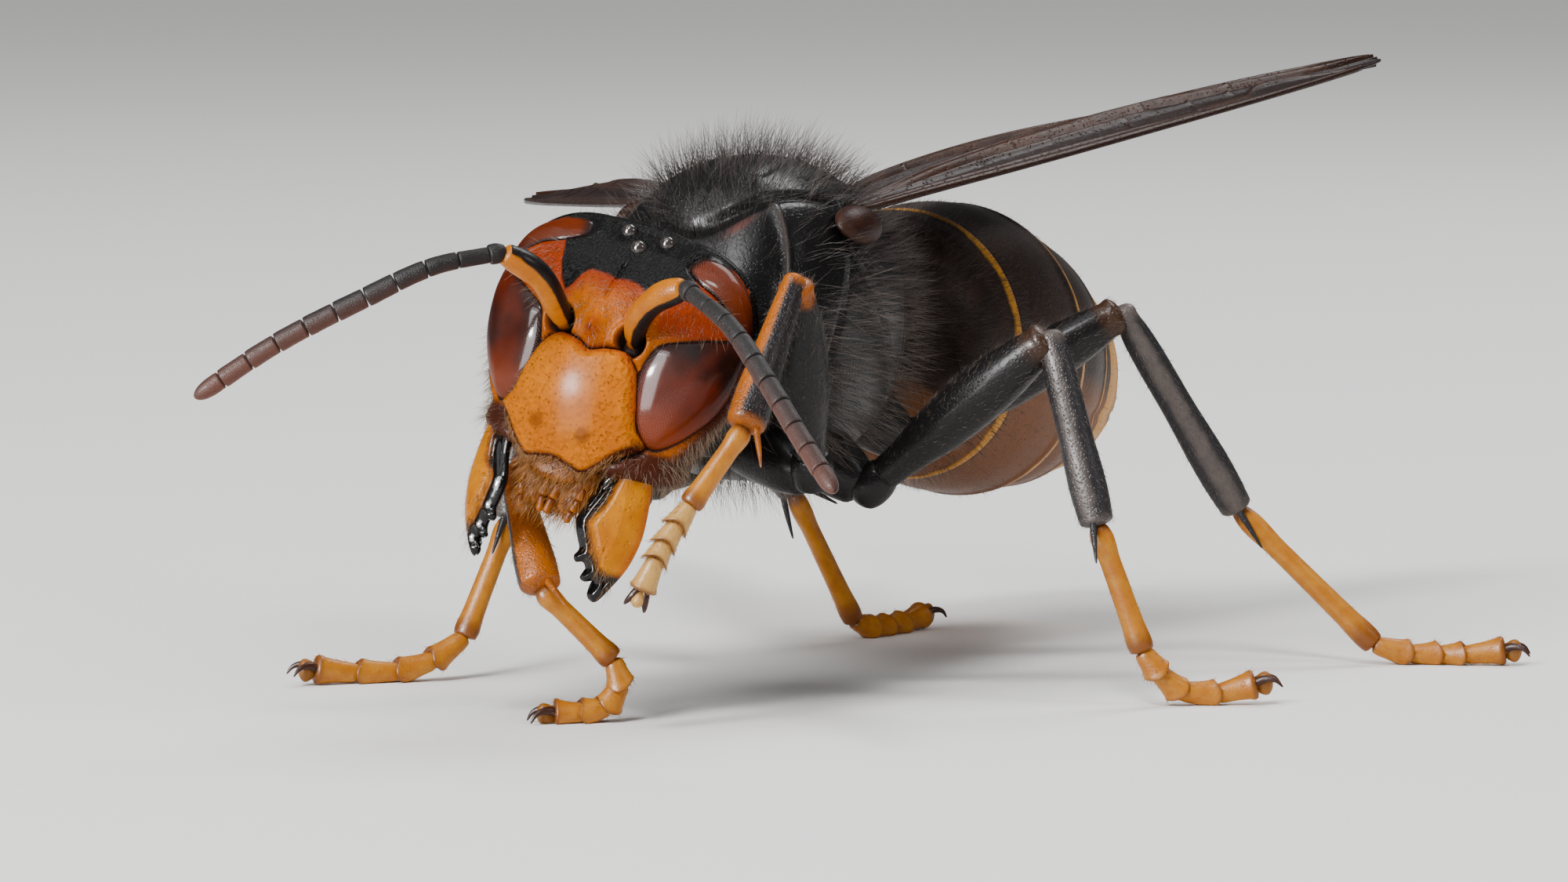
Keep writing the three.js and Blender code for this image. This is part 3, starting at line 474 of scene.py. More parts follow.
side_to_side = np.linspace(0.03, 1, 105) ** 0.9
side_to_side = np.concatenate([side_to_side * 0.5, 1 - side_to_side[-2::-1] * 0.5]) * np.pi
lean, swing = np.meshgrid(side_to_side, round_angles(330), indexing="ij")
ray = np.stack([np.cos(lean), -np.sin(lean) * np.cos(swing), np.sin(lean) * np.sin(swing)], -1)
head_grid = reach_capsule(HEAD_MIDDLE, ray)
head_out = outward(head_grid, ray)
hx, hy, hz = head_grid[..., 0], head_grid[..., 1], head_grid[..., 2]
ahx = np.abs(hx)
in_front = soft_step(hy, -0.1, -0.6)
face = np.stack([hx, hz], -1)
eye_plane = np.stack([0.6 * ahx + 0.8 * hy, hz], -1)
from_eye = beyond(EYE_OUTLINE, eye_plane)
from_clypeus = np.where(hy < 0, beyond(CLYPEUS_OUTLINE, face), 1.5)
from_socket = np.hypot(ahx - SOCKET_PLACE[0], hz - SOCKET_PLACE[1])
from_socket = np.where(hy < 0, from_socket, 2)
above_crown_edge = np.where(hy < -0.1, hz - smooth_through(*zip(*CROWN_EDGE), ahx), 0.4)
tubercle = mound(hx, 0.2, hz - 0.3, 0.3) * in_front
relief = (
    -0.13 * hill(from_clypeus, 0.08)
    - 0.3 * soft_step(-from_clypeus, 0, 0.25)
    - 0.3 * soft_step(-from_socket, -0.34, -0.22)
    + 0.05 * hill(from_socket - 0.37, 0.07)
    + 0.3 * tubercle
    + 0.1 * mound(hx, 0.75, hz - 0.75, 0.5) * in_front
    - 0.05 * hill(from_eye, 0.045)
    + 0.035 * hill(from_eye - 0.13, 0.07)
    - 0.04 * hill(hx, 0.035) * soft_step(hz, 0.8, 1.0) * soft_step(-hz, -1.8, -1.6) * in_front
    - 0.04 * mound(hx, 0.5, hz - 1.5, 0.2) * in_front
)
head_skin = head_grid + relief[..., None] * head_out
head_shell = Shells()
head_shell.add(head_skin, {
    "crown": above_crown_edge, "from_eye": from_eye, "from_clypeus": from_clypeus, "from_socket": from_socket,
    "height": hz, "back": hy, "tubercle": tubercle, "aside": ahx,
})

ORANGE = (0.47, 0.11, 0.0)
RED_ORANGE = (0.25, 0.025, 0.0)
CROWN_BLACK = (0.003, 0.003, 0.003)
CHEEK_BROWN = (0.06, 0.014, 0.006)
# The brown below is painted shade for the grooves round the shield, the feeler sockets and the eye rims.
GROOVE_SHADE = (0.02, 0.012, 0.01)
head_finish = Finish("head_shell", Specular_IOR_Level=0.06, Coat_Roughness=0.14)
blotch = head_finish.noise(0.35) - 0.5
crown, height, bump_here, off_clypeus, off_socket, off_eye, back, aside = (
    head_finish.field(name)
    for name in ("crown", "height", "tubercle", "from_clypeus", "from_socket", "from_eye", "back", "aside")
)
reddish = (crown + blotch * 0.5).rise(-0.7, 0.05)
bay = (aside + blotch * 0.3).rise(0.9, 1.25) * height.rise(0.3, 0.8)
cheek = (back.rise(-0.75, -0.35) * height.rise(0.6, 0.1)).most(height.rise(-1.5, -1.75))
black = (crown + blotch * 0.14).rise(-0.05, 0.05) * (1 - cheek)
# Darker brown in the grooves round the shield, in the feeler sockets and along the eye rims: painted shade.
groove_shade = off_clypeus.rise(0.09, 0.02).most(off_socket.rise(0.36, 0.27)).most(off_eye.rise(0.05, 0.015))
face_colour = head_finish.layers(
    ORANGE, (reddish.most(bay), RED_ORANGE), (bump_here.rise(0.3, 0.8) * 0.6, RED_ORANGE),
    (bump_here.rise(0.88, 0.99) * 0.7, (0.06, 0.01, 0.003)), (cheek, CHEEK_BROWN), (black, CROWN_BLACK),
    (groove_shade, GROOVE_SHADE),
)
head_finish.paint(
    Base_Color=face_colour, Roughness=0.34 + head_finish.noise(0.1) * 0.1, Coat_Weight=0.05 + black * 0.05)
pits = head_finish.grains(0.06).rise(0.05, 0.6) * (0.4 + black * 0.6)
head_finish.bump(pits + head_finish.noise(0.03) * 0.25, 0.03)
fit(head_shell.piece("head_shell", head_finish, from_head), "black_cuticle", "head")


# Compound eyes. Kidney-shaped domes of thousands of six-sided lenses, red-brown right through, glossy as
# lacquer. Each fills its place in the capsule and stands a little proud of it.
EYE_PROUD = 0.23
EYE_SHOULDER = 0.8
EYE_AXIS = np.array([0.8, -0.6, 0.0])
LENS_WIDTH = 0.036

eye_finish = Finish("eye_lenses", Specular_IOR_Level=0.06, Coat_Roughness=0.1)
lens_across, lens_up = eye_finish.field("lens_across"), eye_finish.field("lens_up")
SLANT = math.cos(math.radians(30))
lens_wave = 2 * math.pi / (LENS_WIDTH * SLANT)
lens_domes = (
    (lens_up * lens_wave).cosine()
    + ((lens_across * SLANT + lens_up * 0.5) * lens_wave).cosine()
    + ((lens_across * SLANT - lens_up * 0.5) * lens_wave).cosine()
)
eye_depth = eye_finish.noise(1.1, 2.0)
amber_ends = (lens_up.rise(0.9, 1.7) * 0.45).most(lens_up.rise(-0.5, -1.3) * 0.8)
eye_colour = eye_finish.layers(
    (0.01, 0.001, 0.0), (eye_depth.rise(0.32, 0.68), (0.095, 0.009, 0.0)),
    (amber_ends * 0.8, (0.25, 0.034, 0.0)),
    (eye_finish.field("rim").rise(0.07, 0.0), (0.02, 0.006, 0.004)),
)
eye_finish.paint(Base_Color=eye_colour, Roughness=0.25 + eye_depth * 0.1, Coat_Weight=0.22)
eye_finish.bump(lens_domes, 0.0014)

SIDES = {"left": 1, "right": -1}
spread = np.linspace(0.02, 1, 90)[:, None, None] ** 0.8
flat_eye = EYE_MIDDLE + spread * (EYE_OUTLINE - EYE_MIDDLE)
from_rim = distance_to(EYE_OUTLINE, flat_eye)
for side_name, side in SIDES.items():
    axis = EYE_AXIS * [side, 1, 1]
    across = np.array([0.6 * side, 0.8, 0])
    start = 0.4 * axis + flat_eye[..., :1] * across + flat_eye[..., 1:] * np.array([0, 0, 1.0])
    surface = reach_capsule(start, axis)
    edge = np.clip(from_rim / EYE_SHOULDER, 0, 1)
    proud = EYE_PROUD * np.sqrt(1 - (1 - edge) ** 2) - 0.06
    dome = surface + proud[..., None] * axis
    skirt = dome[-1:] - np.array([0.05, 0.2])[:, None, None] * axis
    eye_shell = Shells()
    eye_shell.add(np.concatenate([dome, skirt]), {
        "lens_across": np.concatenate([flat_eye[..., 0], flat_eye[[-1, -1], :, 0]]) * 1.25,
        "lens_up": np.concatenate([flat_eye[..., 1], flat_eye[[-1, -1], :, 1]]),
        "rim": np.concatenate([from_rim, from_rim[[-1, -1]]]),
    })
    fit(eye_shell.piece(f"eye_dome_{side_name}", eye_finish, from_head), "eye", f"eye_{side_name}")


# Ocelli. Three small simple eyes in a triangle on the crown, each a clear glassy bead that the black shell
# holds round its middle. Two stand behind and one in front.
OCELLI = [(0.0, 2.0), (0.43, 2.24), (-0.43, 2.24)]
OCELLUS_RADIUS = 0.16
ocelli_finish = Finish("ocelli", Roughness=0.12, Coat_Weight=0.6)
ocelli_glass = ocelli_finish.mix(ocelli_finish.noise(0.1), (0.02, 0.014, 0.012), (0.06, 0.05, 0.045))
ocelli_finish.paint(Base_Color=ocelli_glass)
ocelli_shell = Shells()


def ball(rows, columns, end=0.05):
    """A unit ball of rings round y: sin lean cos swing, cos lean and sin lean sin swing."""
    lean, swing = np.meshgrid(np.linspace(end, math.pi - end, rows), round_angles(columns), indexing="ij")
    return np.stack([np.sin(lean) * np.cos(swing), np.cos(lean), np.sin(lean) * np.sin(swing)], -1)


for x, z in OCELLI:
    seat = reach_capsule(np.array([x, 0.0, z]), np.array([0.0, -1.0, 0.0]))
    ocelli_shell.add(seat + [0, 0.02, 0] + OCELLUS_RADIUS * ball(22, 28) * [1, 0.85, 1])
fit(ocelli_shell.piece("ocelli", ocelli_finish, from_head), "eye")


# Clypeus. The bright shield below the feelers: one bulging orange plate, finely pricked, with a dark red
# lip and two blunt lobes at its lower edge. It lies in a groove of the capsule.
CLYPEUS_MIDDLE = np.array([0.0, -1.12])
CLYPEUS_EDGE_DROP = 0.17


def clypeus_depth(x, z):
    """A quarter of an ellipsoid: how far forward the shield stands at a place seen from the front."""
    return -0.98 - 0.66 * np.sqrt(np.maximum(1 - (x / 1.75) ** 2 - ((z + 1.05) / 1.95) ** 2, 0.01))


spread = (np.linspace(0.01, 1, 110) ** 0.85)[:, None, None]
flat_clypeus = CLYPEUS_MIDDLE + spread * (CLYPEUS_OUTLINE - CLYPEUS_MIDDLE)
to_edge = distance_to(CLYPEUS_OUTLINE, flat_clypeus)
clypeus_y = clypeus_depth(flat_clypeus[..., 0], flat_clypeus[..., 1])
clypeus_y = clypeus_y + CLYPEUS_EDGE_DROP * (1 - np.clip(to_edge / 0.16, 0, 1)) ** 2
lip = hill(to_edge - 0.05, 0.04) * soft_step(-flat_clypeus[..., 1], 1.75, 2.0)
clypeus_y = clypeus_y - 0.05 * lip
clypeus_front = np.stack([flat_clypeus[..., 0], clypeus_y, flat_clypeus[..., 1]], -1)
clypeus_back = clypeus_front[-1:] + np.array([[[0, 0.12, 0]], [[0, 0.4, 0]]])
clypeus_grid = np.concatenate([clypeus_front, clypeus_back])
clypeus_shell = Shells()
clypeus_shell.add(clypeus_grid, {
    "edge": to_edge[[*range(len(to_edge)), -1, -1]], "height": clypeus_grid[..., 2],
    "x": clypeus_grid[..., 0],
})
clypeus_finish = Finish("clypeus", Specular_IOR_Level=0.02, Coat_Roughness=0.18)
x, height, edge = (clypeus_finish.field(name) for name in ("x", "height", "edge"))
aside, below = x.size() - 0.52, height + 1.72
spot = (aside * aside + below * below).rise(0.05, 0.0)
pricks = clypeus_finish.grains(0.1).rise(0.26, 0.08)
shield = clypeus_finish.layers(
    clypeus_finish.mix(clypeus_finish.noise(0.8, 2.0).rise(0.3, 0.7), (0.56, 0.14, 0.0), (0.67, 0.19, 0.0)),
    (spot * 0.75, (0.2, 0.045, 0.002)),
    (edge.rise(0.1, 0.02) * height.rise(-1.3, -0.9) * 0.7, (0.5, 0.08, 0.01)),
    (edge.rise(0.16, 0.06) * height.rise(-1.35, -1.7), (0.05, 0.008, 0.004)),
    (pricks * 0.6, (0.3, 0.06, 0.0)),
)
fine = clypeus_finish.noise(0.025)
clypeus_finish.paint(Base_Color=shield, Roughness=0.36 + fine * 0.12, Coat_Weight=0.05)
clypeus_finish.bump(clypeus_finish.grains(0.13).rise(0.1, 0.7) * 0.8 - pricks * 0.5 + fine * 0.5, 0.055)
fit(clypeus_shell.piece("clypeus_shield", clypeus_finish, from_head), "orange_cuticle", "clypeus")


# Mandibles. Two broad biting plates, orange outside, with a black cutting edge of blunt teeth that is
# as hard and shiny as horn. Each turns on a hinge below the eye and swings like a gate.
MANDIBLE_OUTLINE = [
    (1.3, -1.72), (1.62, -1.72), (1.86, -1.9), (1.98, -2.3), (2.03, -2.85), (2.02, -3.4), (1.88, -3.95),
    (1.64, -4.4), (1.42, -4.72), (1.27, -4.72), (1.2, -4.6), (1.27, -4.46), (1.25, -4.36), (1.1, -4.4),
    (1.0, -4.33), (1.07, -4.17), (1.0, -4.04), (0.86, -4.06), (0.8, -3.95), (0.87, -3.8), (0.8, -3.62),
    (0.72, -3.42), (0.7, -3.2), (0.8, -2.95), (0.92, -2.7), (1.0, -2.4), (1.1, -2.0),
]
MANDIBLE_AXIS = 1.6
MANDIBLE_LEAN = 86
MANDIBLE_THICKNESS = 0.3
MANDIBLE_POSE = {
    "left": (1, np.array([1.36, -0.55, -1.95]), 18, 5),
    "right": (-1, np.array([-1.58, -0.55, -2.08]), 36, -12),
}

mandible_finish = Finish("mandibles", Specular_IOR_Level=0.06, Coat_Roughness=0.1)
cutting, drop, base, rim = (mandible_finish.field(name) for name in ("cutting", "drop", "base", "rim"))
black_edge = cutting + mandible_finish.wobble(0.16, 0.12) - drop.rise(-3.3, -2.9) * 0.09
horn = black_edge.rise(0.27, 0.19).most(drop.rise(-4.05, -4.25))
horn = horn.most(base.size().rise(0.09, 0.03) * cutting.rise(0.9, 0.5))
jaw_colour = mandible_finish.layers(
    mandible_finish.mottled(0.7, (0.48, 0.14, 0.0), (0.62, 0.22, 0.0)),
    (rim.rise(0.16, 0.02) * 0.55, (0.5, 0.09, 0.008)),
    (base.rise(-0.05, 0.12).most(black_edge.rise(0.34, 0.26) * 0.7), (0.12, 0.015, 0.002)),
    (horn, (0.003, 0.0025, 0.0025)),
)
jaw_pits = mandible_finish.grains(0.12).rise(0.3, 0.08)
mandible_finish.paint(Base_Color=jaw_colour, Roughness=0.34 - horn * 0.14, Coat_Weight=0.08 + horn * 0.4)
mandible_finish.bump((1 - jaw_pits) * 0.7 + mandible_finish.noise(0.06) * 0.4, 0.02)

outline = smooth_loop(MANDIBLE_OUTLINE, 300)
middle = np.array([1.45, -3.3])
JAW_FRONT_ROWS = 70
spread = np.concatenate([np.linspace(0.02, 1, JAW_FRONT_ROWS), np.linspace(1, 0.02, 46)]) ** 0.8
spread = spread[:, None, None]
flat_jaw = middle + spread * (outline - middle)
to_rim = distance_to(outline, flat_jaw)
cutting_line = np.array(MANDIBLE_OUTLINE[8:] + MANDIBLE_OUTLINE[:1], float)
to_cutting = distance_to(cutting_line, flat_jaw, closed=False)
thickness = MANDIBLE_THICKNESS * np.clip(to_rim / 0.45, 0, 1) ** 0.55
front = np.arange(len(spread)) < JAW_FRONT_ROWS
base_line = flat_jaw[..., 1] + 3.05 - 1.4 * (flat_jaw[..., 0] - 0.7)
crease = 0.07 * hill(to_cutting - 0.27, 0.06) + 0.06 * hill(base_line + 0.08, 0.08)
depth = np.where(front[:, None], thickness - crease * (to_rim > 0.1), -0.7 * thickness)
depth = depth - 0.12 * ((flat_jaw[..., 1] + 3.2) / 1.5) ** 2


def jaw_place(side, hinge, splay, open_turn):
    """The jaw's flat shape turned open, stood upright, splayed about the upright and set on its hinge."""
    across = side * (flat_jaw[..., 0] - MANDIBLE_AXIS)
    shape = np.stack([across, flat_jaw[..., 1] - hinge[2], 0.18 + depth], -1)
    turned = shape @ turn(2, side * open_turn).T @ turn(0, MANDIBLE_LEAN).T @ turn(2, side * splay).T
    return turned + hinge


for side_name, pose in MANDIBLE_POSE.items():
    jaw_shell = Shells()
    jaw_shell.add(jaw_place(*pose), {
        "cutting": to_cutting, "drop": flat_jaw[..., 1], "rim": to_rim, "base": base_line,
    })
    jaw = jaw_shell.piece(f"jaw_{side_name}", mandible_finish, from_head)
    fit(jaw, "orange_cuticle", f"mandible_{side_name}")


# Mouthparts. Below the shield hang the soft tongue, the two blades that wrap it and two pairs of jointed
# feelers: thin amber cuticle, each rod set end to end in the next.
def rod(points, profile, lift=(0, 0, 1), rows=36, columns=24, ends=(0.12, 0.12), depth=1.0):
    """Rings of a rod through points, and the share of its length at each ring.

    profile holds its radius at shares of the length. Over each of ends, in millimetres, the tip rounds
    off like half an ellipse. depth is its depth along lift as a share of its width.
    """
    places, length = path_shares(points)
    share = 0.001 + 0.998 * (1 - np.cos(np.linspace(0, np.pi, rows))) / 2
    path = smooth_through(places, points, share)
    radius = smooth_through(*zip(*profile), share)
    for from_end, rounding in ((share, ends[0]), (1 - share, ends[1])):
        radius = radius * np.sqrt(1 - (1 - np.clip(from_end * length / rounding, 0, 1)) ** 2)
    along = np.gradient(path, axis=0)
    side = unit(np.cross(along, lift))
    over = np.cross(side, unit(along))
    angle = round_angles(columns)[:, None]
    reach = np.cos(angle) * side[:, None] + depth * np.sin(angle) * over[:, None]
    return path[:, None] + radius[:, None, None] * reach, share


def add_rod(shells, points, profile, fields=None, lobes=None, **shape):
    """Adds a rod whose points carry their share of its length and how far they face along lift and down.

    lobes is a vector across the rod: its far end runs on by that vector's length on both sides.
    """
    rings, share = rod(points, profile, **shape)
    if lobes is not None:
        offset = rings - rings.mean(1, keepdims=True)
        aside = np.abs(offset @ lobes) / np.linalg.norm(offset, axis=-1).max()
        ahead = unit(np.subtract(points[-1], points[0]))
        run_on = soft_step(share, 0.35, 1)[:, None] * aside**2 / np.linalg.norm(lobes)
        rings = rings + run_on[..., None] * ahead
    over = np.sin(round_angles(rings.shape[1]))
    low = -unit(rings - rings.mean(1, keepdims=True))[..., 2]
    shells.add(rings, {"along": share[:, None], "over": over[None], "low": low, **(fields or {})})
    return rings


def add_chain(shells, points, radii, fields=None, ends=0.03, last_end=0.08, **shape):
    """Adds a chain of short rods, one for each of radii, that swell a little towards their far ends."""
    places = path_shares(points)[0]
    count = len(radii)
    for number, radius in enumerate(radii):
        inner = smooth_through(places, points, (number + np.linspace(0, 1, 5)) / count)
        profile = [(share, swell * radius) for share, swell in CHAIN_PROFILE]
        given = {"chain": (number + 0.5) / count, **(fields or {})}
        far_end = ends if number < count - 1 else last_end
        add_rod(shells, inner, profile, given, ends=(ends, far_end), **shape)


CHAIN_PROFILE = [(0, 0.97), (0.1, 0.985), (0.5, 1), (0.92, 1.01), (1, 0.99)]
FORWARD = (0, -1, 0)
mouth_finish = Finish("mouthparts", Roughness=0.42, Specular_IOR_Level=0.15)
amber = mouth_finish.layers(
    (0.16, 0.03, 0.002), (mouth_finish.field("along"), (0.42, 0.12, 0.002)),
    (mouth_finish.noise(0.18).rise(0.35, 0.75) * 0.5, (0.08, 0.018, 0.004)),
)
mouth_finish.paint(Base_Color=amber)
mouth_finish.bump(mouth_finish.noise(0.05), 0.012)
mouth_shells = Shells()
mouth_skins = [
    add_rod(mouth_shells, [[0, -0.45, -1.85], [0, -0.62, -2.7], [0, -0.72, -3.35]],
            [(0, 0.46), (0.5, 0.4), (0.85, 0.34), (1, 0.28)], lift=FORWARD, depth=0.55),
    add_rod(mouth_shells, [[0, -0.8, -1.95], [0, -1.15, -2.45], [0, -1.2, -2.75]],
            [(0, 0.75), (0.5, 0.66), (0.85, 0.5), (1, 0.4)], lift=FORWARD, depth=0.18),
]
for side in SIDES.values():
    mouth_skins.append(add_rod(
        mouth_shells, [[0.5 * side, -0.62, -1.85], [0.5 * side, -0.9, -2.75], [0.36 * side, -1.0, -3.3]],
        [(0, 0.36), (0.4, 0.36), (0.75, 0.3), (1, 0.2)], lift=FORWARD, depth=0.6))
    for line, radii in (
        ([[0.1, -0.85, -2.2], [0.13, -1.08, -2.8], [0.07, -1.16, -3.4]], [0.1, 0.095, 0.09, 0.08]),
        ([[0.6, -0.8, -2.3], [0.64, -1.05, -2.85], [0.52, -1.12, -3.45]], [0.09, 0.09, 0.085, 0.08, 0.07]),
    ):
        add_chain(mouth_shells, np.array(line) * [side, 1, 1], radii, lift=FORWARD, rows=14, columns=14)
fit(mouth_shells.piece("mouthparts", mouth_finish, from_head), "mouthparts", "mouthparts")


# Antennae. Each has a long first joint on a ball in its socket, yellow in front and black behind, a short
# elbow joint and a whip of ten dark joints that pales towards its tip. The joints are hollow and matt.
FLAGELLUM_RADIUS = 0.2
FLAGELLOMERES = 10
ANTENNA_LIFT = (0, -1, 0.3)
ANTENNAE = {
    "left": (
        [[0.72, -0.85, 0.1], [0.91, -1.53, 0.72], [1.39, -1.98, 1.27], [1.97, -2.2, 1.62]],
        [[1.97, -2.2, 1.62], [3.4, -2.95, 1.24], [4.9, -3.7, 0.44], [6.3, -4.4, -0.39], [7.45, -5.05, -1.0]],
    ),
    "right": (
        [[-0.8, -0.85, 0.12], [-0.76, -1.6, 0.45], [-0.98, -2.5, 1.0], [-1.53, -3.08, 1.2]],
        [[-1.53, -3.08, 1.2], [-2.36, -3.85, 0.62], [-3.39, -4.52, -0.46], [-4.6, -5.04, -1.77],
         [-5.72, -5.4, -3.21]],
    ),
}
scape_finish = Finish("scape", Specular_IOR_Level=0.15, Coat_Weight=0.1, Coat_Roughness=0.15)
scape_dark = (scape_finish.field("behind") + scape_finish.wobble(0.25, 0.2)).rise(0.12, 0.3)
scape_colour = scape_finish.layers(
    scape_finish.mottled(0.4, (0.45, 0.12, 0.0), (0.55, 0.17, 0.0)), (scape_dark, (0.008, 0.006, 0.006)),
    (scape_finish.field("along").rise(0.13, 0.09), (0.012, 0.005, 0.004)),
)
scape_finish.paint(Base_Color=scape_colour, Roughness=0.34)
scape_finish.bump(scape_finish.grains(0.05).rise(0.0, 0.5) + scape_finish.noise(0.03) * 0.4, 0.006)
whip_finish = Finish("flagellum", Specular_IOR_Level=0.22, Sheen_Weight=0.1, Sheen_Roughness=0.4)
whip_tone = whip_finish.field("chain") + whip_finish.field("low") * 0.45
whip_colour = whip_finish.layers(
    (0.008, 0.005, 0.005), (whip_tone.rise(0.1, 1.2), (0.12, 0.04, 0.025)),
    (whip_finish.field("along").rise(0.97, 1.0) * 0.7, (0.012, 0.008, 0.007)),
)
whip_finish.paint(Base_Color=whip_colour, Roughness=0.5)
whip_finish.bump(whip_finish.grains(0.028).rise(0.0, 0.6), 0.006)
SCAPE_PROFILE = [(0, 0.2), (0.05, 0.24), (0.1, 0.17), (0.2, 0.21), (0.6, 0.25), (0.9, 0.255), (1, 0.2)]
# The way towards the black side of each scape.
SCAPE_BACKS = {"left": (0.75, 0.45, -0.5), "right": (0.65, 0.4, 0.65)}
for side_name, (scape_line, flagellum_line) in ANTENNAE.items():
    scape_shells = Shells()
    rings, share = rod(scape_line, SCAPE_PROFILE, lift=ANTENNA_LIFT, rows=70, columns=36, ends=(0.12, 0.1))
    behind = outward(rings) @ np.array(SCAPE_BACKS[side_name])
    scape_shells.add(rings, {"along": share[:, None], "behind": behind})
    scape = scape_shells.piece(f"scape_{side_name}", scape_finish, from_head)
    fit(scape, "orange_cuticle", f"antenna_{side_name}_scape")
    whip_shells = Shells()
    elbow, start = np.array(flagellum_line[0]), np.array(flagellum_line[1])
    ahead = unit(start - elbow)
    add_rod(whip_shells, [elbow - 0.08 * ahead, elbow + 0.3 * ahead], [(0, 0.13), (0.5, 0.2), (1, 0.19)],
            lift=ANTENNA_LIFT, ends=(0.05, 0.05))
    number = np.arange(FLAGELLOMERES)
    radii = FLAGELLUM_RADIUS * (np.minimum(1, 0.8 + 0.06 * number) - 0.12 * (number / FLAGELLOMERES) ** 3)
    whip_line = [elbow + 0.26 * ahead, *flagellum_line[1:]]
    add_chain(whip_shells, whip_line, radii, lift=ANTENNA_LIFT, rows=26, columns=30, last_end=0.45)
    whip = whip_shells.piece(f"flagellum_{side_name}", whip_finish, from_head)
    fit(whip, "flagellum", f"antenna_{side_name}_flagellum")


# Thorax. Three hard black rings grown together: the shiny collar in front, the big flight-muscle box with
# its seams, and the sloping rear that ends at the waist. A short neck joins it to the head.
BODY_X = -2.9
THORAX_MIDDLE = 7.5
THORAX_HALF_HEIGHT = 3.25
THORAX_HALF_WIDTH = 2.6
THORAX_SQUARENESS = 2.2
# Half width, height above, depth below and rise of the middle line at places along y, as shares of the
# full ones.
THORAX_PLACES = [0.68, 0.8, 1.0, 1.5, 2.6, 4.4, 6.2, 7.6, 8.6, 9.15, 9.26, 9.33]
THORAX_SHARES = np.array([
    [0, 0, 0, -0.12], [0.33, 0.24, 0.25, -0.12], [0.45, 0.32, 0.33, -0.12], [0.72, 0.52, 0.6, -0.1],
    [0.9, 0.85, 0.88, -0.02], [1, 1, 1, 0], [0.95, 0.93, 0.97, 0], [0.8, 0.7, 0.83, -0.02],
    [0.55, 0.42, 0.56, -0.1], [0.36, 0.16, 0.3, -0.2], [0.26, 0.12, 0.22, -0.2], [0, 0, 0, -0.2],
])


def thorax_surface(y, angle):
    """Points of the bare thorax at places along y and angles round it.

    Across it is a superellipse: its cosine and sine are taken to the power 2 / THORAX_SQUARENESS.
    """
    squares = np.maximum(smooth_through(THORAX_PLACES, THORAX_SHARES[:, :3] ** 2, y), 1e-6) ** 0.5
    rise = smooth_through(THORAX_PLACES, THORAX_SHARES[:, 3], y)
    parts = np.cos(angle), np.sin(angle)
    c, s = (np.sign(part) * np.abs(part) ** (2 / THORAX_SQUARENESS) for part in parts)
    tall = np.where(s > 0, squares[..., 1], squares[..., 2]) * THORAX_HALF_HEIGHT
    x = BODY_X + squares[..., 0] * THORAX_HALF_WIDTH * c
    return np.stack([x, y + 0 * angle, THORAX_MIDDLE + rise * THORAX_HALF_HEIGHT + tall * s], -1)


rows_y = 0.69 + 8.63 * (1 - np.cos(np.linspace(0.02, 1, 250) * np.pi)) / 2
thorax_y, thorax_angle = np.meshgrid(rows_y, round_angles(240), indexing="ij")
thorax_grid = thorax_surface(thorax_y, thorax_angle)
thorax_out = outward(thorax_grid)
tx, ty, tz = thorax_grid[..., 0] - BODY_X, thorax_grid[..., 1], thorax_grid[..., 2]
on_top = soft_step(tz, 8.6, 9.2)
beyond_scutum = 2.2 * (np.hypot(tx / 2.0, (ty - 5.7) / 3.75) - 1)
behind_collar = (ty - 4.3) * 0.902 - (tz - 9.4) * 0.431
behind_box = (ty - 7.55) * 0.994 - (tz - 10) * 0.109
outside_collar = np.maximum(behind_collar, -beyond_scutum)
scutellum = np.hypot(tx / 1.55, (ty - 7.15) / 0.62) - 1
metanotum = np.hypot(tx / 1.75, (ty - 7.35) / 0.85) - 1
furrow = np.minimum(np.abs(np.abs(tx) - 0.85), np.where(ty > 4.2, np.abs(np.abs(tx) - 1.45), 1))
furrow = np.where((ty > 3.3) & (ty < 6.3) & (tz > 9), furrow, 1)
middle_line = np.where((ty > 2.3) & (ty < 4.6) & (tz > 9), np.abs(tx), 1)
side_seam = np.abs((ty - 5.3) + 0.75 * (tz - 7.6))
side_seam = np.where((np.abs(tx) > 1.3) & (ty > 3.2) & (ty < 7.4) & (tz < 9), side_seam, 1)
rear_line = np.where(ty > 7.9, np.abs(tx), 1)
thorax_relief = (
    -0.12 * hill(outside_collar, 0.07)
    + 0.06 * soft_step(-outside_collar, 0, 0.2)
    + 0.06 * hill(behind_collar + 1.62, 0.07) * soft_step(-outside_collar, 0, 0.1)
    - 0.12 * hill(behind_box, 0.08)
    + on_top * (0.16 * soft_step(-scutellum, 0, 0.5) - 0.14 * hill(scutellum, 0.08))
    + on_top * (-0.08 * hill(metanotum, 0.07))
    - 0.05 * hill(furrow, 0.05)
    - 0.04 * hill(middle_line, 0.04)
    - 0.09 * hill(side_seam, 0.07)
    - 0.1 * hill(rear_line, 0.16)
)
thorax_skin = thorax_grid + thorax_relief[..., None] * thorax_out
thorax_shells = Shells()
thorax_shells.add(thorax_skin, {
    "mark": hill((tx - 0.95) / 0.2, 1.0) * hill(beyond_scutum - 0.18, 0.04) * soft_step(-ty, -3.2, -2.8),
    # The ridge line of the collar, where a painted highlight goes.
    "carina": hill(behind_collar + 1.62, 0.035) * soft_step(-outside_collar, 0, 0.1),
    "collar": -outside_collar,
})
thorax_finish = Finish("thorax", Specular_IOR_Level=0.15, Coat_Weight=0.22, Coat_Roughness=0.22)
collar = thorax_finish.field("collar").rise(0.0, 0.15)
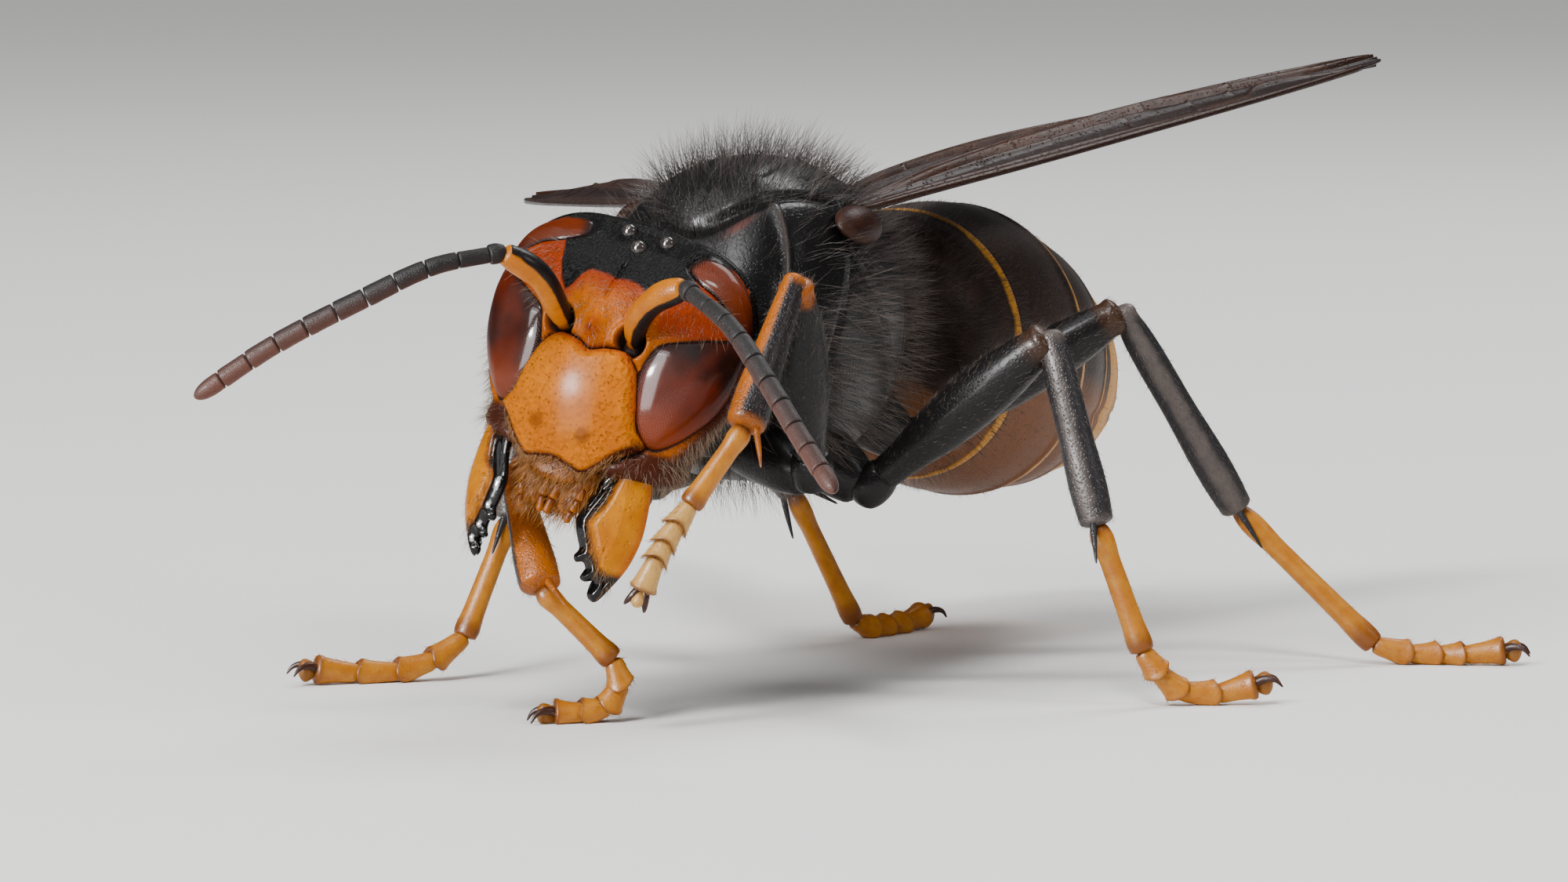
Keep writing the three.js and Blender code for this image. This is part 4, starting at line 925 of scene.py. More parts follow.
thorax_colour = thorax_finish.layers(
    (0.004, 0.0035, 0.004), (thorax_finish.noise(0.5), (0.009, 0.008, 0.008)),
    (thorax_finish.field("mark") * 0.6, (0.16, 0.03, 0.015)),
    # A pale line along the ridge of the collar: painted highlight.
    (thorax_finish.field("carina") * 0.6, (0.12, 0.1, 0.09)),
)
thorax_finish.paint(Base_Color=thorax_colour, Roughness=0.4 - collar * 0.15)
thorax_pits = thorax_finish.grains(0.08).rise(0.0, 0.5)
thorax_finish.bump(thorax_pits * (1 - collar * 0.6) + thorax_finish.noise(0.04) * 0.3, 0.014)
thorax = thorax_shells.piece("thorax_shell", thorax_finish)
fit(thorax, "black_cuticle", "pronotum", "mesothorax", "propodeum")

neck_shells = Shells()
add_rod(neck_shells, [[-3.27, -0.45, 7.12], [-3.1, 0.5, 7.1], [BODY_X, 1.7, 7.1]],
        [(0, 0.62), (0.3, 0.52), (0.6, 0.58), (0.8, 0.52), (1, 0.66)], rows=50, ends=(0.05, 0.05))
fit(neck_shells.piece("neck", thorax_finish), "black_cuticle", "neck")


# Tegulae. A small dark brown scale lies like a lid over the root of each pair of wings. It is a domed plate,
# hinged at its front end, whose thin paler edge is a painted glint.
tegula_finish = Finish("tegula", Specular_IOR_Level=0.1, Coat_Weight=0.04, Coat_Roughness=0.3)
tegula_colour = tegula_finish.layers(
    tegula_finish.mottled(0.4, (0.012, 0.004, 0.003), (0.03, 0.009, 0.005)),
    # The paler edge is a painted glint.
    (tegula_finish.field("edge").rise(0.75, 1.0), (0.04, 0.016, 0.01)),
)
tegula_finish.paint(Base_Color=tegula_colour, Roughness=0.45)
tegula_finish.bump(tegula_finish.grains(0.06).rise(0.0, 0.5), 0.006)
for side_name, side in SIDES.items():
    lid = ball(40, 56, 0.03)[..., [1, 0, 2]]
    edge = np.hypot(lid[..., 1], lid[..., 2])
    lid = lid * [0.24, 0.86, 0.44] + np.array([0.1, 0, 0]) * (1 - edge[..., None] ** 2)
    lid = lid @ turn(1, -38).T * [side, 1, 1]
    tegula_shells = Shells()
    tegula_shells.add(lid + [BODY_X + side * 2.42, 4.5, 9.42], {"edge": edge})
    fit(tegula_shells.piece(f"tegula_{side_name}", tegula_finish), "tegula", f"tegula_{side_name}")


# Gaster. Six rings of overlapping plates that slide into one another like a telescope, velvety dark brown.
# The first has a thin yellow hem and the fourth is mostly orange. Each ring laps over the next one's front.
GASTER_START = 9.65
GASTER_LENGTH = 11.9
GASTER_HALF_WIDTH = 2.92
GASTER_HALF_HEIGHT = 3.08
# Each ring by its start and end on the length, and its radius at even steps between them, as shares.
GASTER_RINGS = [
    (0.01, 0.212, [0.4, 0.74, 0.86, 0.92]),
    (0.215, 0.447, [0.92, 0.99, 1.0]),
    (0.45, 0.617, [0.94, 0.94, 0.88]),
    (0.62, 0.767, [0.83, 0.8, 0.71]),
    (0.77, 0.887, [0.66, 0.6, 0.5]),
    (0.89, 1.0, [0.45, 0.37, 0.25, 0.08]),
]


def gaster_line(share):
    """The gaster's middle line: it runs back and droops as the square of the share."""
    height = 6.6 - 0.3 * share - 1.6 * share**2
    return np.stack([BODY_X + 0 * share, GASTER_START + GASTER_LENGTH * share, height], -1)


gaster_finish = Finish("gaster", Specular_IOR_Level=0.22, Sheen_Weight=0.1, Sheen_Roughness=0.35)
hem = gaster_finish.field("hem")
wavy_hem = hem + gaster_finish.wobble(0.5, 0.04)
yellow = gaster_finish.field("yellow") + gaster_finish.wobble(0.7, 0.1)
belly = (gaster_finish.field("belly") + gaster_finish.wobble(0.6, 0.2)).rise(-0.4, -0.62)
gaster_colour = gaster_finish.layers(
    gaster_finish.mottled(0.6, (0.012, 0.005, 0.003), (0.03, 0.012, 0.006)),
    (belly * 0.75, (0.19, 0.058, 0.008)),
    ((wavy_hem - (1 - yellow)).rise(-0.02, 0.02), (0.55, 0.24, 0.018)),
    (hem.rise(0.985, 1.0), (0.12, 0.05, 0.015)),
)
gaster_finish.paint(Base_Color=gaster_colour, Roughness=0.42 + gaster_finish.noise(0.12) * 0.15)
gaster_finish.fine_grain(0.07, 0.008)
# Share of each ring, from its rear edge, that is yellow or orange.
RING_HEMS = [0.11, 0.06, 0.08, 0.62, 0.1, 0.0]
# The rear lip of a ring as places along it and shares of its radius: turned in, or closed at the last one.
RING_LIP = np.array([[1.0, 0.985], [0.98, 0.965], [0.9, 0.95]])
LAST_LIP = np.array([[1.02, 0.6], [1.03, 0.2]])
gaster_skins = []
for number, (start, end, radii) in enumerate(GASTER_RINGS, 1):
    steps = np.linspace(0, 1, len(radii))
    along = np.linspace(0, 1, 56)
    radius = smooth_through(steps, radii, along)
    if number == 1:
        opening = np.linspace(0.02, 0.98, 12)
        along = np.concatenate([-0.12 * (1 - opening), along])
        radius = np.concatenate([0.4 * np.sqrt(1 - (1 - opening) ** 2), radius])
    else:
        along, radius = np.concatenate([[-0.14], along]), np.concatenate([[0.9 * radius[0]], radius])
    lip = RING_LIP if number < len(GASTER_RINGS) else LAST_LIP
    along = np.concatenate([along, lip[:, 0]])
    radius = np.concatenate([radius, radius[-1] * lip[:, 1]])
    angle = round_angles(200)
    swell = 1 + 0.012 * hill(along[:, None] - 0.93, 0.05) - 0.02 * hill(np.sin(angle) + 0.42, 0.05)
    swell = radius[:, None] * swell
    line = gaster_line(start + along * (end - start))
    ring = line[:, None] + np.stack([
        swell * GASTER_HALF_WIDTH * np.cos(angle), 0 * swell, swell * GASTER_HALF_HEIGHT * np.sin(angle),
    ], -1)
    gaster_skins.append(ring[1:-3])
    ring_shells = Shells()
    low = np.sin(angle)[None] - 0.3 * (number > 1)
    ring_shells.add(ring, {"hem": along[:, None], "belly": low, "yellow": RING_HEMS[number - 1]})
    gaster_ring = ring_shells.piece(f"gaster_ring_{number}", gaster_finish)
    fit(gaster_ring, "gaster_rear" if number > 4 else "brown_cuticle", f"gaster_{number}")


# Wings. Two pairs of smoky brown films on stiff dark veins, the front pair pleated lengthwise as these
# wasps fold it at rest. Each is hinged at the side of the thorax under its tegula.
WING_CHORD_PLACES = [0, 0.12, 0.3, 0.5, 0.72, 0.88, 0.96, 1]
WING_CHORD_SHARES = np.array([0.3, 0.5, 0.86, 1, 0.98, 0.74, 0.46, 0.1])
WING_ROOT = np.array([2.15, 5.15, 9.68])
# Veins of a wing as lines through [share of the length, share of the chord], with their half widths in mm.
FORE_VEINS = [
    (0.075, [[0, 0.06], [0.3, 0.04], [0.62, 0.035], [0.93, 0.03]]),
    (0.06, [[0, 0.18], [0.2, 0.13], [0.45, 0.1], [0.6, 0.07]]),
    (0.15, [[0.62, 0.1], [0.7, 0.1]]),
    (0.045, [[0.7, 0.1], [0.74, 0.24], [0.82, 0.28], [0.9, 0.16], [0.94, 0.05]]),
    (0.05, [[0, 0.4], [0.15, 0.34], [0.3, 0.3], [0.48, 0.3], [0.62, 0.38], [0.76, 0.44], [0.88, 0.46]]),
    (0.045, [[0, 0.62], [0.2, 0.62], [0.42, 0.6], [0.58, 0.58], [0.8, 0.66], [0.9, 0.66]]),
    (0.05, [[0, 0.8], [0.25, 0.86], [0.45, 0.86]]),
    (0.035, [[0.48, 0.1], [0.5, 0.3]]), (0.035, [[0.61, 0.12], [0.63, 0.38]]),
    (0.035, [[0.3, 0.3], [0.33, 0.62]]), (0.035, [[0.56, 0.36], [0.58, 0.58]]),
    (0.035, [[0.7, 0.26], [0.71, 0.43]]), (0.035, [[0.79, 0.28], [0.8, 0.45]]),
    (0.035, [[0.74, 0.44], [0.75, 0.63]]),
]
HIND_VEINS = [
    (0.06, [[0, 0.08], [0.4, 0.05], [0.9, 0.04]]),
    (0.05, [[0, 0.4], [0.25, 0.35], [0.5, 0.36], [0.8, 0.5]]),
    (0.045, [[0, 0.7], [0.3, 0.72], [0.6, 0.8]]),
    (0.035, [[0.45, 0.05], [0.5, 0.36]]), (0.035, [[0.3, 0.35], [0.33, 0.72]]),
]
# Each wing by its side, length, chord, swing from straight back, rise, tilt, inset from the root, and veins.
WINGS = {
    "forewing_left": (1, 19.0, 2.5, 12.5, 7.3, -3, 0.0, FORE_VEINS),
    "forewing_right": (-1, 19.0, 2.5, 35, -2.8, 6, 0.0, FORE_VEINS),
    "hindwing_left": (1, 12.8, 1.8, 3, 5.6, -3, 0.95, HIND_VEINS),
    "hindwing_right": (-1, 12.8, 1.8, 24, -2.8, 6, 0.95, HIND_VEINS),
}
WING_THICKNESS = 0.03
wing_finish = Finish("wing_film", Specular_IOR_Level=0.1, Sheen_Weight=0.03, Sheen_Roughness=0.3)
vein = wing_finish.field("vein")
film = wing_finish.layers(
    wing_finish.mottled(1.6, (0.024, 0.009, 0.005), (0.055, 0.02, 0.01)),
    (wing_finish.field("chord").rise(0.5, 0.3) * 0.85, (0.009, 0.004, 0.004)), (vein, (0.03, 0.012, 0.007)),
)
wing_finish.paint(Base_Color=film, Roughness=0.3 + wing_finish.noise(0.3) * 0.15, Alpha=0.9 + vein * 0.1)
wing_finish.bump(wing_finish.grains(0.1).rise(0.0, 0.4) * 0.5 + wing_finish.noise(0.5), 0.02)


def wing_width(chord, along):
    """Width of a wing at a share of its length: the square root of a smooth curve of squares."""
    squares = smooth_through(WING_CHORD_PLACES, WING_CHORD_SHARES**2, along)
    return chord * np.sqrt(np.maximum(squares, 1e-3))


for wing_name, (side, length, chord, swing, rise, tilt, inset, veins) in WINGS.items():
    along, share = np.meshgrid(np.linspace(0.0, 0.998, 260), np.linspace(0.004, 0.996, 64), indexing="ij")
    width = wing_width(chord, along)
    flat_wing = np.stack([along * length, share * width], -1)
    raised = np.zeros(along.shape)
    for half_width, line in veins:
        line = np.array(line)
        line_along = np.linspace(line[0, 0], line[-1, 0], 24)
        line_share = smooth_through(line[:, 0], line[:, 1], line_along)
        drawn = np.stack([line_along * length, line_share * wing_width(chord, line_along)], -1)
        nearness = 1.3 - distance_to(drawn, flat_wing, closed=False) / half_width
        raised = np.maximum(raised, np.sqrt(np.clip(nearness, 0, 1)))
    camber = 0.1 * chord * np.sin(np.pi * share) * np.sin(np.pi * np.minimum(1, along + 0.08))
    pleated = soft_step(along, 0, 0.2) * soft_step(share, 0.2, 0.4)
    camber += 0.045 * chord * np.cos(7 * np.pi * share) * pleated
    half = WING_THICKNESS * np.sqrt(np.clip(np.minimum(share, 1 - share) / 0.03, 0, 1)) + 0.035 * raised
    flat_x = -side * (share - 0.25) * width
    upper = np.stack([flat_x, along * length, camber + half], -1)
    lower = np.stack([flat_x, along * length, camber - half], -1)
    loop = np.concatenate([upper, lower[:, ::-1]], axis=1)
    placing = turn(2, -side * swing) @ turn(0, rise) @ turn(1, side * tilt)
    root = [BODY_X + side * (WING_ROOT[0] - inset), WING_ROOT[1] + inset * 0.9, WING_ROOT[2]]
    wing_shells = Shells()
    wing_shells.add(loop @ placing.T + root, {
        "vein": np.concatenate([raised, raised[:, ::-1]], 1),
        "chord": np.concatenate([share, share[:, ::-1]], 1),
    })
    fit(wing_shells.piece(f"{wing_name}_film", wing_finish), "wing", wing_name)


# Legs. Hard tubes jointed at the ends: hip, thigh, spurred shin and a foot of five flared joints with two
# hooked claws and a soft pad. Thighs and shins are dark, fore shins orange and all the feet yellow.
# Each leg by its root, hip, knee and ankle, and the ends of the five joints of its foot.
LEGS = {
    "fore_left": (
        [-1.95, 2.6, 5.2], [-0.36, 2.1, 4.6], [0.14, 0.2, 8.6], [-0.1, -1.6, 5.85],
        [[-0.9, -2.35, 4.4], [-1.08, -2.53, 4.06], [-1.25, -2.7, 3.71], [-1.37, -2.82, 3.42],
         [-1.62, -2.97, 2.78]],
    ),
    "fore_right": (
        [-3.7, 2.6, 5.2], [-4.1, 1.9, 4.15], [-5.6, -0.55, 4.75], [-4.35, -1.81, 2.59],
        [[-3.13, -1.13, 1.2], [-3.0, -1.07, 0.74], [-3.19, -1.27, 0.3], [-3.56, -1.55, 0.2],
         [-4.06, -1.89, 0.2]],
    ),
    "mid_left": (
        [-1.9, 4.9, 5.1], [-0.55, 5.0, 4.1], [3.29, 5.4, 7.28], [4.42, 5.15, 3.56],
        [[5.23, 5.53, 1.07], [5.51, 5.66, 0.66], [5.84, 5.92, 0.28], [6.46, 6.32, 0.2], [7.2, 6.67, 0.42]],
    ),
    "mid_right": (
        [-3.9, 4.9, 5.1], [-5.2, 5.0, 4.2], [-8.2, 5.5, 7.6], [-8.41, 4.79, 3.2],
        [[-8.98, 3.87, 0.85], [-9.39, 3.34, 0.42], [-9.94, 2.87, 0.21], [-10.58, 2.35, 0.2],
         [-11.27, 1.69, 0.32]],
    ),
    "hind_left": (
        [-2.2, 7.7, 5.7], [-1.3, 8.6, 4.7], [2.62, 10.71, 7.4], [4.19, 13.21, 3.17],
        [[6.87, 14.13, 0.4], [7.51, 14.42, 0.22], [8.05, 14.68, 0.2], [8.55, 14.8, 0.2], [9.4, 15.09, 0.32]],
    ),
    "hind_right": (
        [-3.6, 7.7, 5.7], [-4.5, 8.6, 4.7], [-8.15, 10.75, 7.15], [-5.52, 12.32, 3.2],
        [[-4.75, 13.7, 0.4], [-4.6, 14.2, 0.22], [-4.5, 14.75, 0.2], [-4.4, 15.35, 0.2], [-4.25, 16.2, 0.32]],
    ),
}
COXA_RADIUS = 0.66
FEMUR_RADIUS = 0.55
TIBIA_RADIUS = 0.36
TARSUS_RADIUS = 0.25
CLAW_REACH = 0.5
FOOT_LOBE = 0.2
COXA_PROFILE = [(0, 1.0), (0.4, 1.0), (0.75, 0.86), (1, 0.6)]
FEMUR_PROFILE = [
    (0, 0.6), (0.12, 0.66), (0.4, 0.98), (0.66, 1), (0.88, 0.78), (0.93, 0.7), (0.97, 0.74), (1, 0.68),
]
TIBIA_PROFILE = [(0, 0.8), (0.05, 0.72), (0.14, 0.84), (0.5, 0.94), (0.85, 1.05), (1, 0.92)]
FORE_TIBIA_PROFILE = [(0, 0.8), (0.05, 0.74), (0.2, 0.85), (0.55, 1.08), (0.85, 1.25), (0.96, 1.2), (1, 1.1)]
JOINT_PROFILE = [(0, 0.6), (0.12, 0.74), (0.5, 0.92), (0.75, 1.06), (0.93, 1.18), (1, 1.0)]
SOLE = 0.02

thigh_finish = Finish("thigh", Specular_IOR_Level=0.15, Coat_Weight=0.12, Coat_Roughness=0.2)
knee = (thigh_finish.field("along") + thigh_finish.wobble(0.3, 0.06)).rise(0.86, 0.93)
thigh_colour = thigh_finish.mix(thigh_finish.noise(0.5), (0.005, 0.0045, 0.0045), (0.011, 0.009, 0.009))
knee_colour = thigh_finish.mix(thigh_finish.field("fore"), (0.045, 0.02, 0.01), (0.3, 0.07, 0.002))
thigh_finish.paint(Base_Color=thigh_finish.mix(knee, thigh_colour, knee_colour), Roughness=0.36)
thigh_finish.fine_grain(0.07, 0.009)

shin_finishes = {}
# Each by its dark colour, its pale one and how far round towards the outer side the pale one reaches.
for kind, dark, pale_colour, reach in (
    ("fore", (0.014, 0.01, 0.011), (0.44, 0.11, 0.0), 0.0),
    # The rear shins' pale grey stripe is partly the grey of their fine hairs and partly painted sheen on
    # them.
    ("rear", (0.02, 0.018, 0.02), (0.1, 0.08, 0.072), -0.95),
):
    shin = Finish(f"shin_{kind}", Specular_IOR_Level=0.25)
    outer = shin.field("over") * shin.field("hand") + shin.wobble(0.3, 0.3)
    along = shin.field("along")
    pale = outer.rise(reach + 0.2, reach - 0.1).most(along.rise(0.1, 0.02)).most(along.rise(0.92, 1.0) * 0.8)
    shin.paint(Base_Color=shin.mix(pale, dark, pale_colour), Roughness=0.38)
    shin.fine_grain(0.06, 0.012)
    shin_finishes[kind] = shin

foot_finish = Finish("foot", Specular_IOR_Level=0.25, Coat_Weight=0.08, Coat_Roughness=0.3)
along = foot_finish.field("along")
foot_colour = foot_finish.layers(
    foot_finish.mottled(0.3, (0.44, 0.14, 0.003), (0.52, 0.2, 0.01)),
    (foot_finish.field("raised") * 0.85, (0.6, 0.35, 0.1)),
    (foot_finish.noise(0.12).rise(0.5, 0.8) * 0.3, (0.3, 0.09, 0.006)),
    ((along.rise(0.8, 0.95) + along.rise(0.1, 0.03)) * 0.8, (0.15, 0.035, 0.004)),
    (foot_finish.field("claw"), (0.04, 0.011, 0.005)),
)
foot_finish.paint(Base_Color=foot_colour, Roughness=0.36)
foot_finish.bump(foot_finish.noise(0.05), 0.01)


def scaled(profile, size):
    return [(share, size * radius) for share, radius in profile]


def off_floor(shells):
    """Lifts what would lie in the floor to just above it."""
    for points in shells.points:
        points[:, 2] = np.maximum(points[:, 2], FLOOR_GAP)


FLOOR_GAP = 0.002
HIP_PROFILE = [(0, 0.3), (0.3, 0.42), (0.7, 0.42), (1, 0.33)]
SPUR_PROFILE = [(0, 0.07), (0.3, 0.065), (1, 0.02)]
# A spur's line in millimetres: along the shin and aside.
SPUR_LINE = ((-0.12, 0.2), (0.3, 0.4), (0.75, 0.6))
FIRST_JOINT = [(0, 0.15), (0.04, 0.2), (0.3, 0.21), (0.8, 0.235), (0.96, 0.255), (1, 0.23)]
CLAW_PROFILE = [(0, 0.1), (0.35, 0.08), (0.75, 0.045), (1, 0.015)]
# A claw's line as shares of its reach: ahead, aside and down.
CLAW_LINE = ((-0.2, 0.12, 0), (0.3, 0.34, -0.14), (0.75, 0.5, 0.02), (0.95, 0.55, 0.34))
leg_skins = {}
for leg_name, joints in LEGS.items():
    root, hip, knee_joint, ankle = (np.array(joint, float) for joint in joints[:4])
    foot = np.array(joints[4], float)
    lift = unit(np.cross(knee_joint - hip, ankle - knee_joint))
    fore = leg_name.startswith("fore")
    size = 0.96 if fore else 1.0
    femur_axis, shin_axis = unit(knee_joint - hip), unit(ankle - knee_joint)

    thigh_shells = Shells()
    add_rod(thigh_shells, [root - 0.2 * (hip - root), hip], scaled(COXA_PROFILE, COXA_RADIUS), {"along": 0.0},
            lift=lift, ends=(0.4, 0.2))
    add_rod(thigh_shells, [hip - 0.3 * femur_axis, hip + 0.62 * femur_axis], HIP_PROFILE, {"along": 0.0},
            lift=lift, ends=(0.2, 0.12))
    femur_rings = add_rod(
        thigh_shells, [hip + 0.35 * femur_axis, (hip + knee_joint) / 2, knee_joint],
        scaled(FEMUR_PROFILE, FEMUR_RADIUS * size), {"fore": float(fore)},
        lift=lift, rows=70, columns=40, ends=(0.15, 0.2), depth=0.92)
    thigh = thigh_shells.piece(f"thigh_{leg_name}", thigh_finish)
    fit(thigh, "black_cuticle", f"leg_{leg_name}_coxa", f"leg_{leg_name}_femur")

    shin_shells = Shells()
    tibia_rings = add_rod(
        shin_shells, [knee_joint - 0.12 * shin_axis, (knee_joint + ankle) / 2, ankle],
        scaled(FORE_TIBIA_PROFILE if fore else TIBIA_PROFILE, TIBIA_RADIUS * size),
        {"hand": 1.0 if leg_name.endswith("left") else -1.0},
        lift=lift, rows=70, columns=36, ends=(0.2, 0.12), depth=0.9)
    for side in (1,) if fore else (-1, 1):
        spur_line = [ankle + a * shin_axis + side * b * lift for a, b in SPUR_LINE]
        add_rod(shin_shells, spur_line, SPUR_PROFILE, {"along": 0.5},
                lift=shin_axis + 0.3, columns=12, rows=16, ends=(0.03, 0.06))
    shin = shin_shells.piece(f"shin_{leg_name}", shin_finishes["fore" if fore else "rear"])
    fit(shin, "fore_tibia" if fore else "tibia", f"leg_{leg_name}_tibia")

    foot_shells = Shells()
    foot_rings = []
    stops = np.vstack([ankle, foot])
    raised = float(foot[-1, 2] > 1)
    claw_reach = CLAW_REACH * (1 - 0.25 * raised)
    ahead = unit(foot[4] - foot[3])
    upright = np.array([-0.42, 0.9, 0.0]) if raised else np.array([0, 0, 1.0])
    across = unit(np.cross(ahead, upright))
    for number, (start, end) in enumerate(zip(stops[:-1], stops[1:])):
        profile = scaled(JOINT_PROFILE, TARSUS_RADIUS) if number else FIRST_JOINT
        lobes = FOOT_LOBE * unit(np.cross(end - start, upright)) if 0 < number < 4 else None
        foot_rings.append(add_rod(
            foot_shells, [start - 0.04 * unit(end - start), (start + end) / 2, end], profile,
            {"claw": 0.0, "raised": raised * (number > 0)}, lobes, lift=lift, rows=30, columns=26,
            ends=(0.05, 0.04), depth=0.9))
    down = np.cross(ahead, across)
    down = down if down[2] < 0 else -down
    toe = foot[4]
    for side in (-1, 1):
        hook = [toe + claw_reach * (a * ahead + side * b * across + c * down) for a, b, c in CLAW_LINE]
        add_rod(foot_shells, hook, CLAW_PROFILE, {"claw": 1.0},
                lift=across, columns=14, rows=24, ends=(0.04, 0.03))
    add_rod(foot_shells, [toe - 0.05 * ahead, toe + 0.32 * ahead + 0.06 * down],
            [(0, 0.14), (0.6, 0.24), (1, 0.2)], {"claw": 0.5 - 0.5 * raised, "raised": raised, "along": 0.5},
            lift=across, columns=18, rows=16, ends=(0.1, 0.12), depth=0.6)
    for points in foot_shells.points:
        points[:, 2] = np.maximum(points[:, 2], SOLE + 0.25 * np.minimum(points[:, 2] - SOLE, 0))
    off_floor(foot_shells)
    fit(foot_shells.piece(f"foot_{leg_name}", foot_finish), "tarsus", f"leg_{leg_name}_tarsus")
    leg_skins[leg_name] = (femur_rings, tibia_rings, foot_rings, femur_axis, shin_axis)


# Hairs. Real ones are solid bristles of cuticle, each in a socket of its own: long and upright on the
# thorax and waist, short and combed back on the gaster, pale on the cheeks, golden on face and feet.
# Size of a hair's patch on the unwrapped skin, and how far its way strays at random.
HAIR_PATCH = 0.003
HAIR_STRAY = 0.16


def scatter(grid, count, rng, mask=None):
    """Places on a skin drawn by its area and a mask: points, ways out and shares of rows and columns."""
    corner, along = grid[:-1], np.diff(grid, axis=0)
    around = (np.roll(grid, -1, 1) - grid)[:-1]
    normal = np.cross(along, around)
    weight = np.linalg.norm(normal, axis=-1)
    if mask is not None:
        weight = weight * np.broadcast_to(mask, grid.shape[:2])[:-1]
    drawn = rng.choice(weight.size, count, p=weight.ravel() / weight.sum())
    row, column = np.divmod(drawn, grid.shape[1])
    s, t = rng.random((2, count, 1))
    points = corner[row, column] + s * along[row, column] + t * around[row, column]
    out = unit(normal[row, column])
    from_middle = points - grid.mean(1)[row]
    out = out * np.sign(np.einsum("ij,ij->i", out, from_middle))[:, None]
    unwrap = np.stack([(row + s[:, 0]) / len(grid), (column + t[:, 0]) / grid.shape[1]], -1)
    return points, out, unwrap


def grow(shells, grid, count, rng, length, flow, stand, width, mask=None, levels=(0, 0.5)):
    """Grows hairs on a skin. flow is the way they are combed, and stand how upright they are, from 0 to 1.

    A hair of length L runs as root + L (t way + t t stray / 3). Its three-sided width falls evenly to its
    tip. levels are the places along it, as t, that have a ring of points.
    """
    roots, out, unwrap = scatter(grid, count, rng, mask)
    flow = np.asarray(flow, float)
    comb = unit(flow - np.einsum("ij,j->i", out, flow)[:, None] * out)
    way = unit(stand * out + (1 - stand) * comb + HAIR_STRAY * rng.normal(size=(count, 3)))
    size = length * rng.uniform(0.55, 1.15, (count, 1))
    stray = comb * 0.6 + 0.3 * rng.normal(size=(count, 3))
    first = unit(np.cross(way, rng.normal(size=(count, 3))))
    second = np.cross(way, first)
    rings = []
    for t in levels:
        centre = roots - 0.03 * out + size * (t * way + t * t * stray / 3)
        for angle in (0, 2 * np.pi / 3, 4 * np.pi / 3):
            reach = math.cos(angle) * first + math.sin(angle) * second
            rings.append(centre + width / 2 * (1 - 0.8 * t) * reach)
    rings.append(roots - 0.03 * out + size * (way + stray / 3))
    points = np.stack(rings, 1)
    corners = 3 * len(levels) + 1
    base = corners * np.arange(count)[:, None, None]
    last = 3 * len(levels) - 3
    sides = [
        (k + i, k + (i + 1) % 3, k + 3 + (i + 1) % 3, k + 3 + i)
        for k in range(0, last, 3) for i in range(3)
    ]
    ends = [(0, 2, 1)] + [(last + i, last + (i + 1) % 3, corners - 1) for i in range(3)]
    around = np.arange(corners) % 3 / 3
    patch = np.stack([around, np.minimum(np.arange(corners) // 3 / len(levels), 1)], -1) * HAIR_PATCH
    tone = np.repeat(rng.random(count), corners)
    tip = np.tile(np.append(np.repeat(levels, 3), 1.0), count)
    shells.add_faces(
        points.reshape(-1, 3),
        [(base + np.array(sides)).reshape(-1, 4), (base + np.array(ends)).reshape(-1, 3)],
        {"tone": tone, "tip": tip},
        (unwrap[:, None] + patch).reshape(-1, 2),
    )


def hair_finish(name, dark, pale):
    finish = Finish(name, Roughness=0.42, Specular_IOR_Level=0.35)
    share = finish.field("tone") * 0.7 + finish.field("tip") * 0.3
    finish.paint(Base_Color=finish.mix(share, dark, pale))
    return finish


grey_hair = hair_finish("hair_grey", (0.012, 0.009, 0.008), (0.12, 0.09, 0.08))
dark_hair = hair_finish("hair_dark", (0.006, 0.005, 0.005), (0.03, 0.025, 0.022))
golden_hair = hair_finish("hair_golden", (0.2, 0.06, 0.003), (0.5, 0.22, 0.03))
amber_hair = hair_finish("hair_amber", (0.2, 0.05, 0.002), (0.6, 0.26, 0.04))
pale_hair = hair_finish("hair_pale", (0.12, 0.075, 0.045), (0.45, 0.32, 0.2))
BACKWARD = (0, 1, -0.15)

BRISTLE_LEVELS = (0, 0.4, 0.75)
thorax_open = soft_step(thorax_skin[..., 1], 1.3, 1.9)
shoulder = np.hypot((np.abs(thorax_skin[..., 0] - BODY_X) - 1.9) / 0.9, (thorax_skin[..., 2] - 8.9) / 1.1)
bare_collar = soft_step(-outside_collar, -0.1, 0.1) * soft_step(-shoulder, -1.3, -0.9)
thorax_open = thorax_open * (1 - 0.9 * bare_collar)
thorax_high = thorax_open * soft_step(thorax_skin[..., 2], 7.4, 8.6)
side_hair = hair_finish("hair_side", (0.025, 0.018, 0.015), (0.24, 0.19, 0.16))
for name, finish, mask, count, seed in (
    ("top", grey_hair, thorax_high, 4600, 11),
    ("sides", side_hair, thorax_open * (1 - thorax_high), 3600, 12),
):
    shells = Shells()
    rng = np.random.default_rng(seed)
    grow(shells, thorax_skin, count, rng, 0.9, BACKWARD, 0.82, 0.011, mask, BRISTLE_LEVELS)
    fit(shells.piece(f"hairs_thorax_{name}", finish), "black_cuticle")

# Hairs of each ring of the gaster: their count, length and stand.
GASTER_HAIRS = [
    (3200, 0.4, 0.5), (4200, 0.2, 0.25), (2600, 0.18, 0.2),
    (1600, 0.18, 0.2), (900, 0.2, 0.25), (500, 0.24, 0.3),
]
shells = Shells()
rng = np.random.default_rng(21)
for skin, (count, length, stand) in zip(gaster_skins, GASTER_HAIRS):
    grow(shells, skin, count, rng, length, BACKWARD, stand, 0.011)
fit(shells.piece("hairs_gaster", grey_hair), "brown_cuticle")

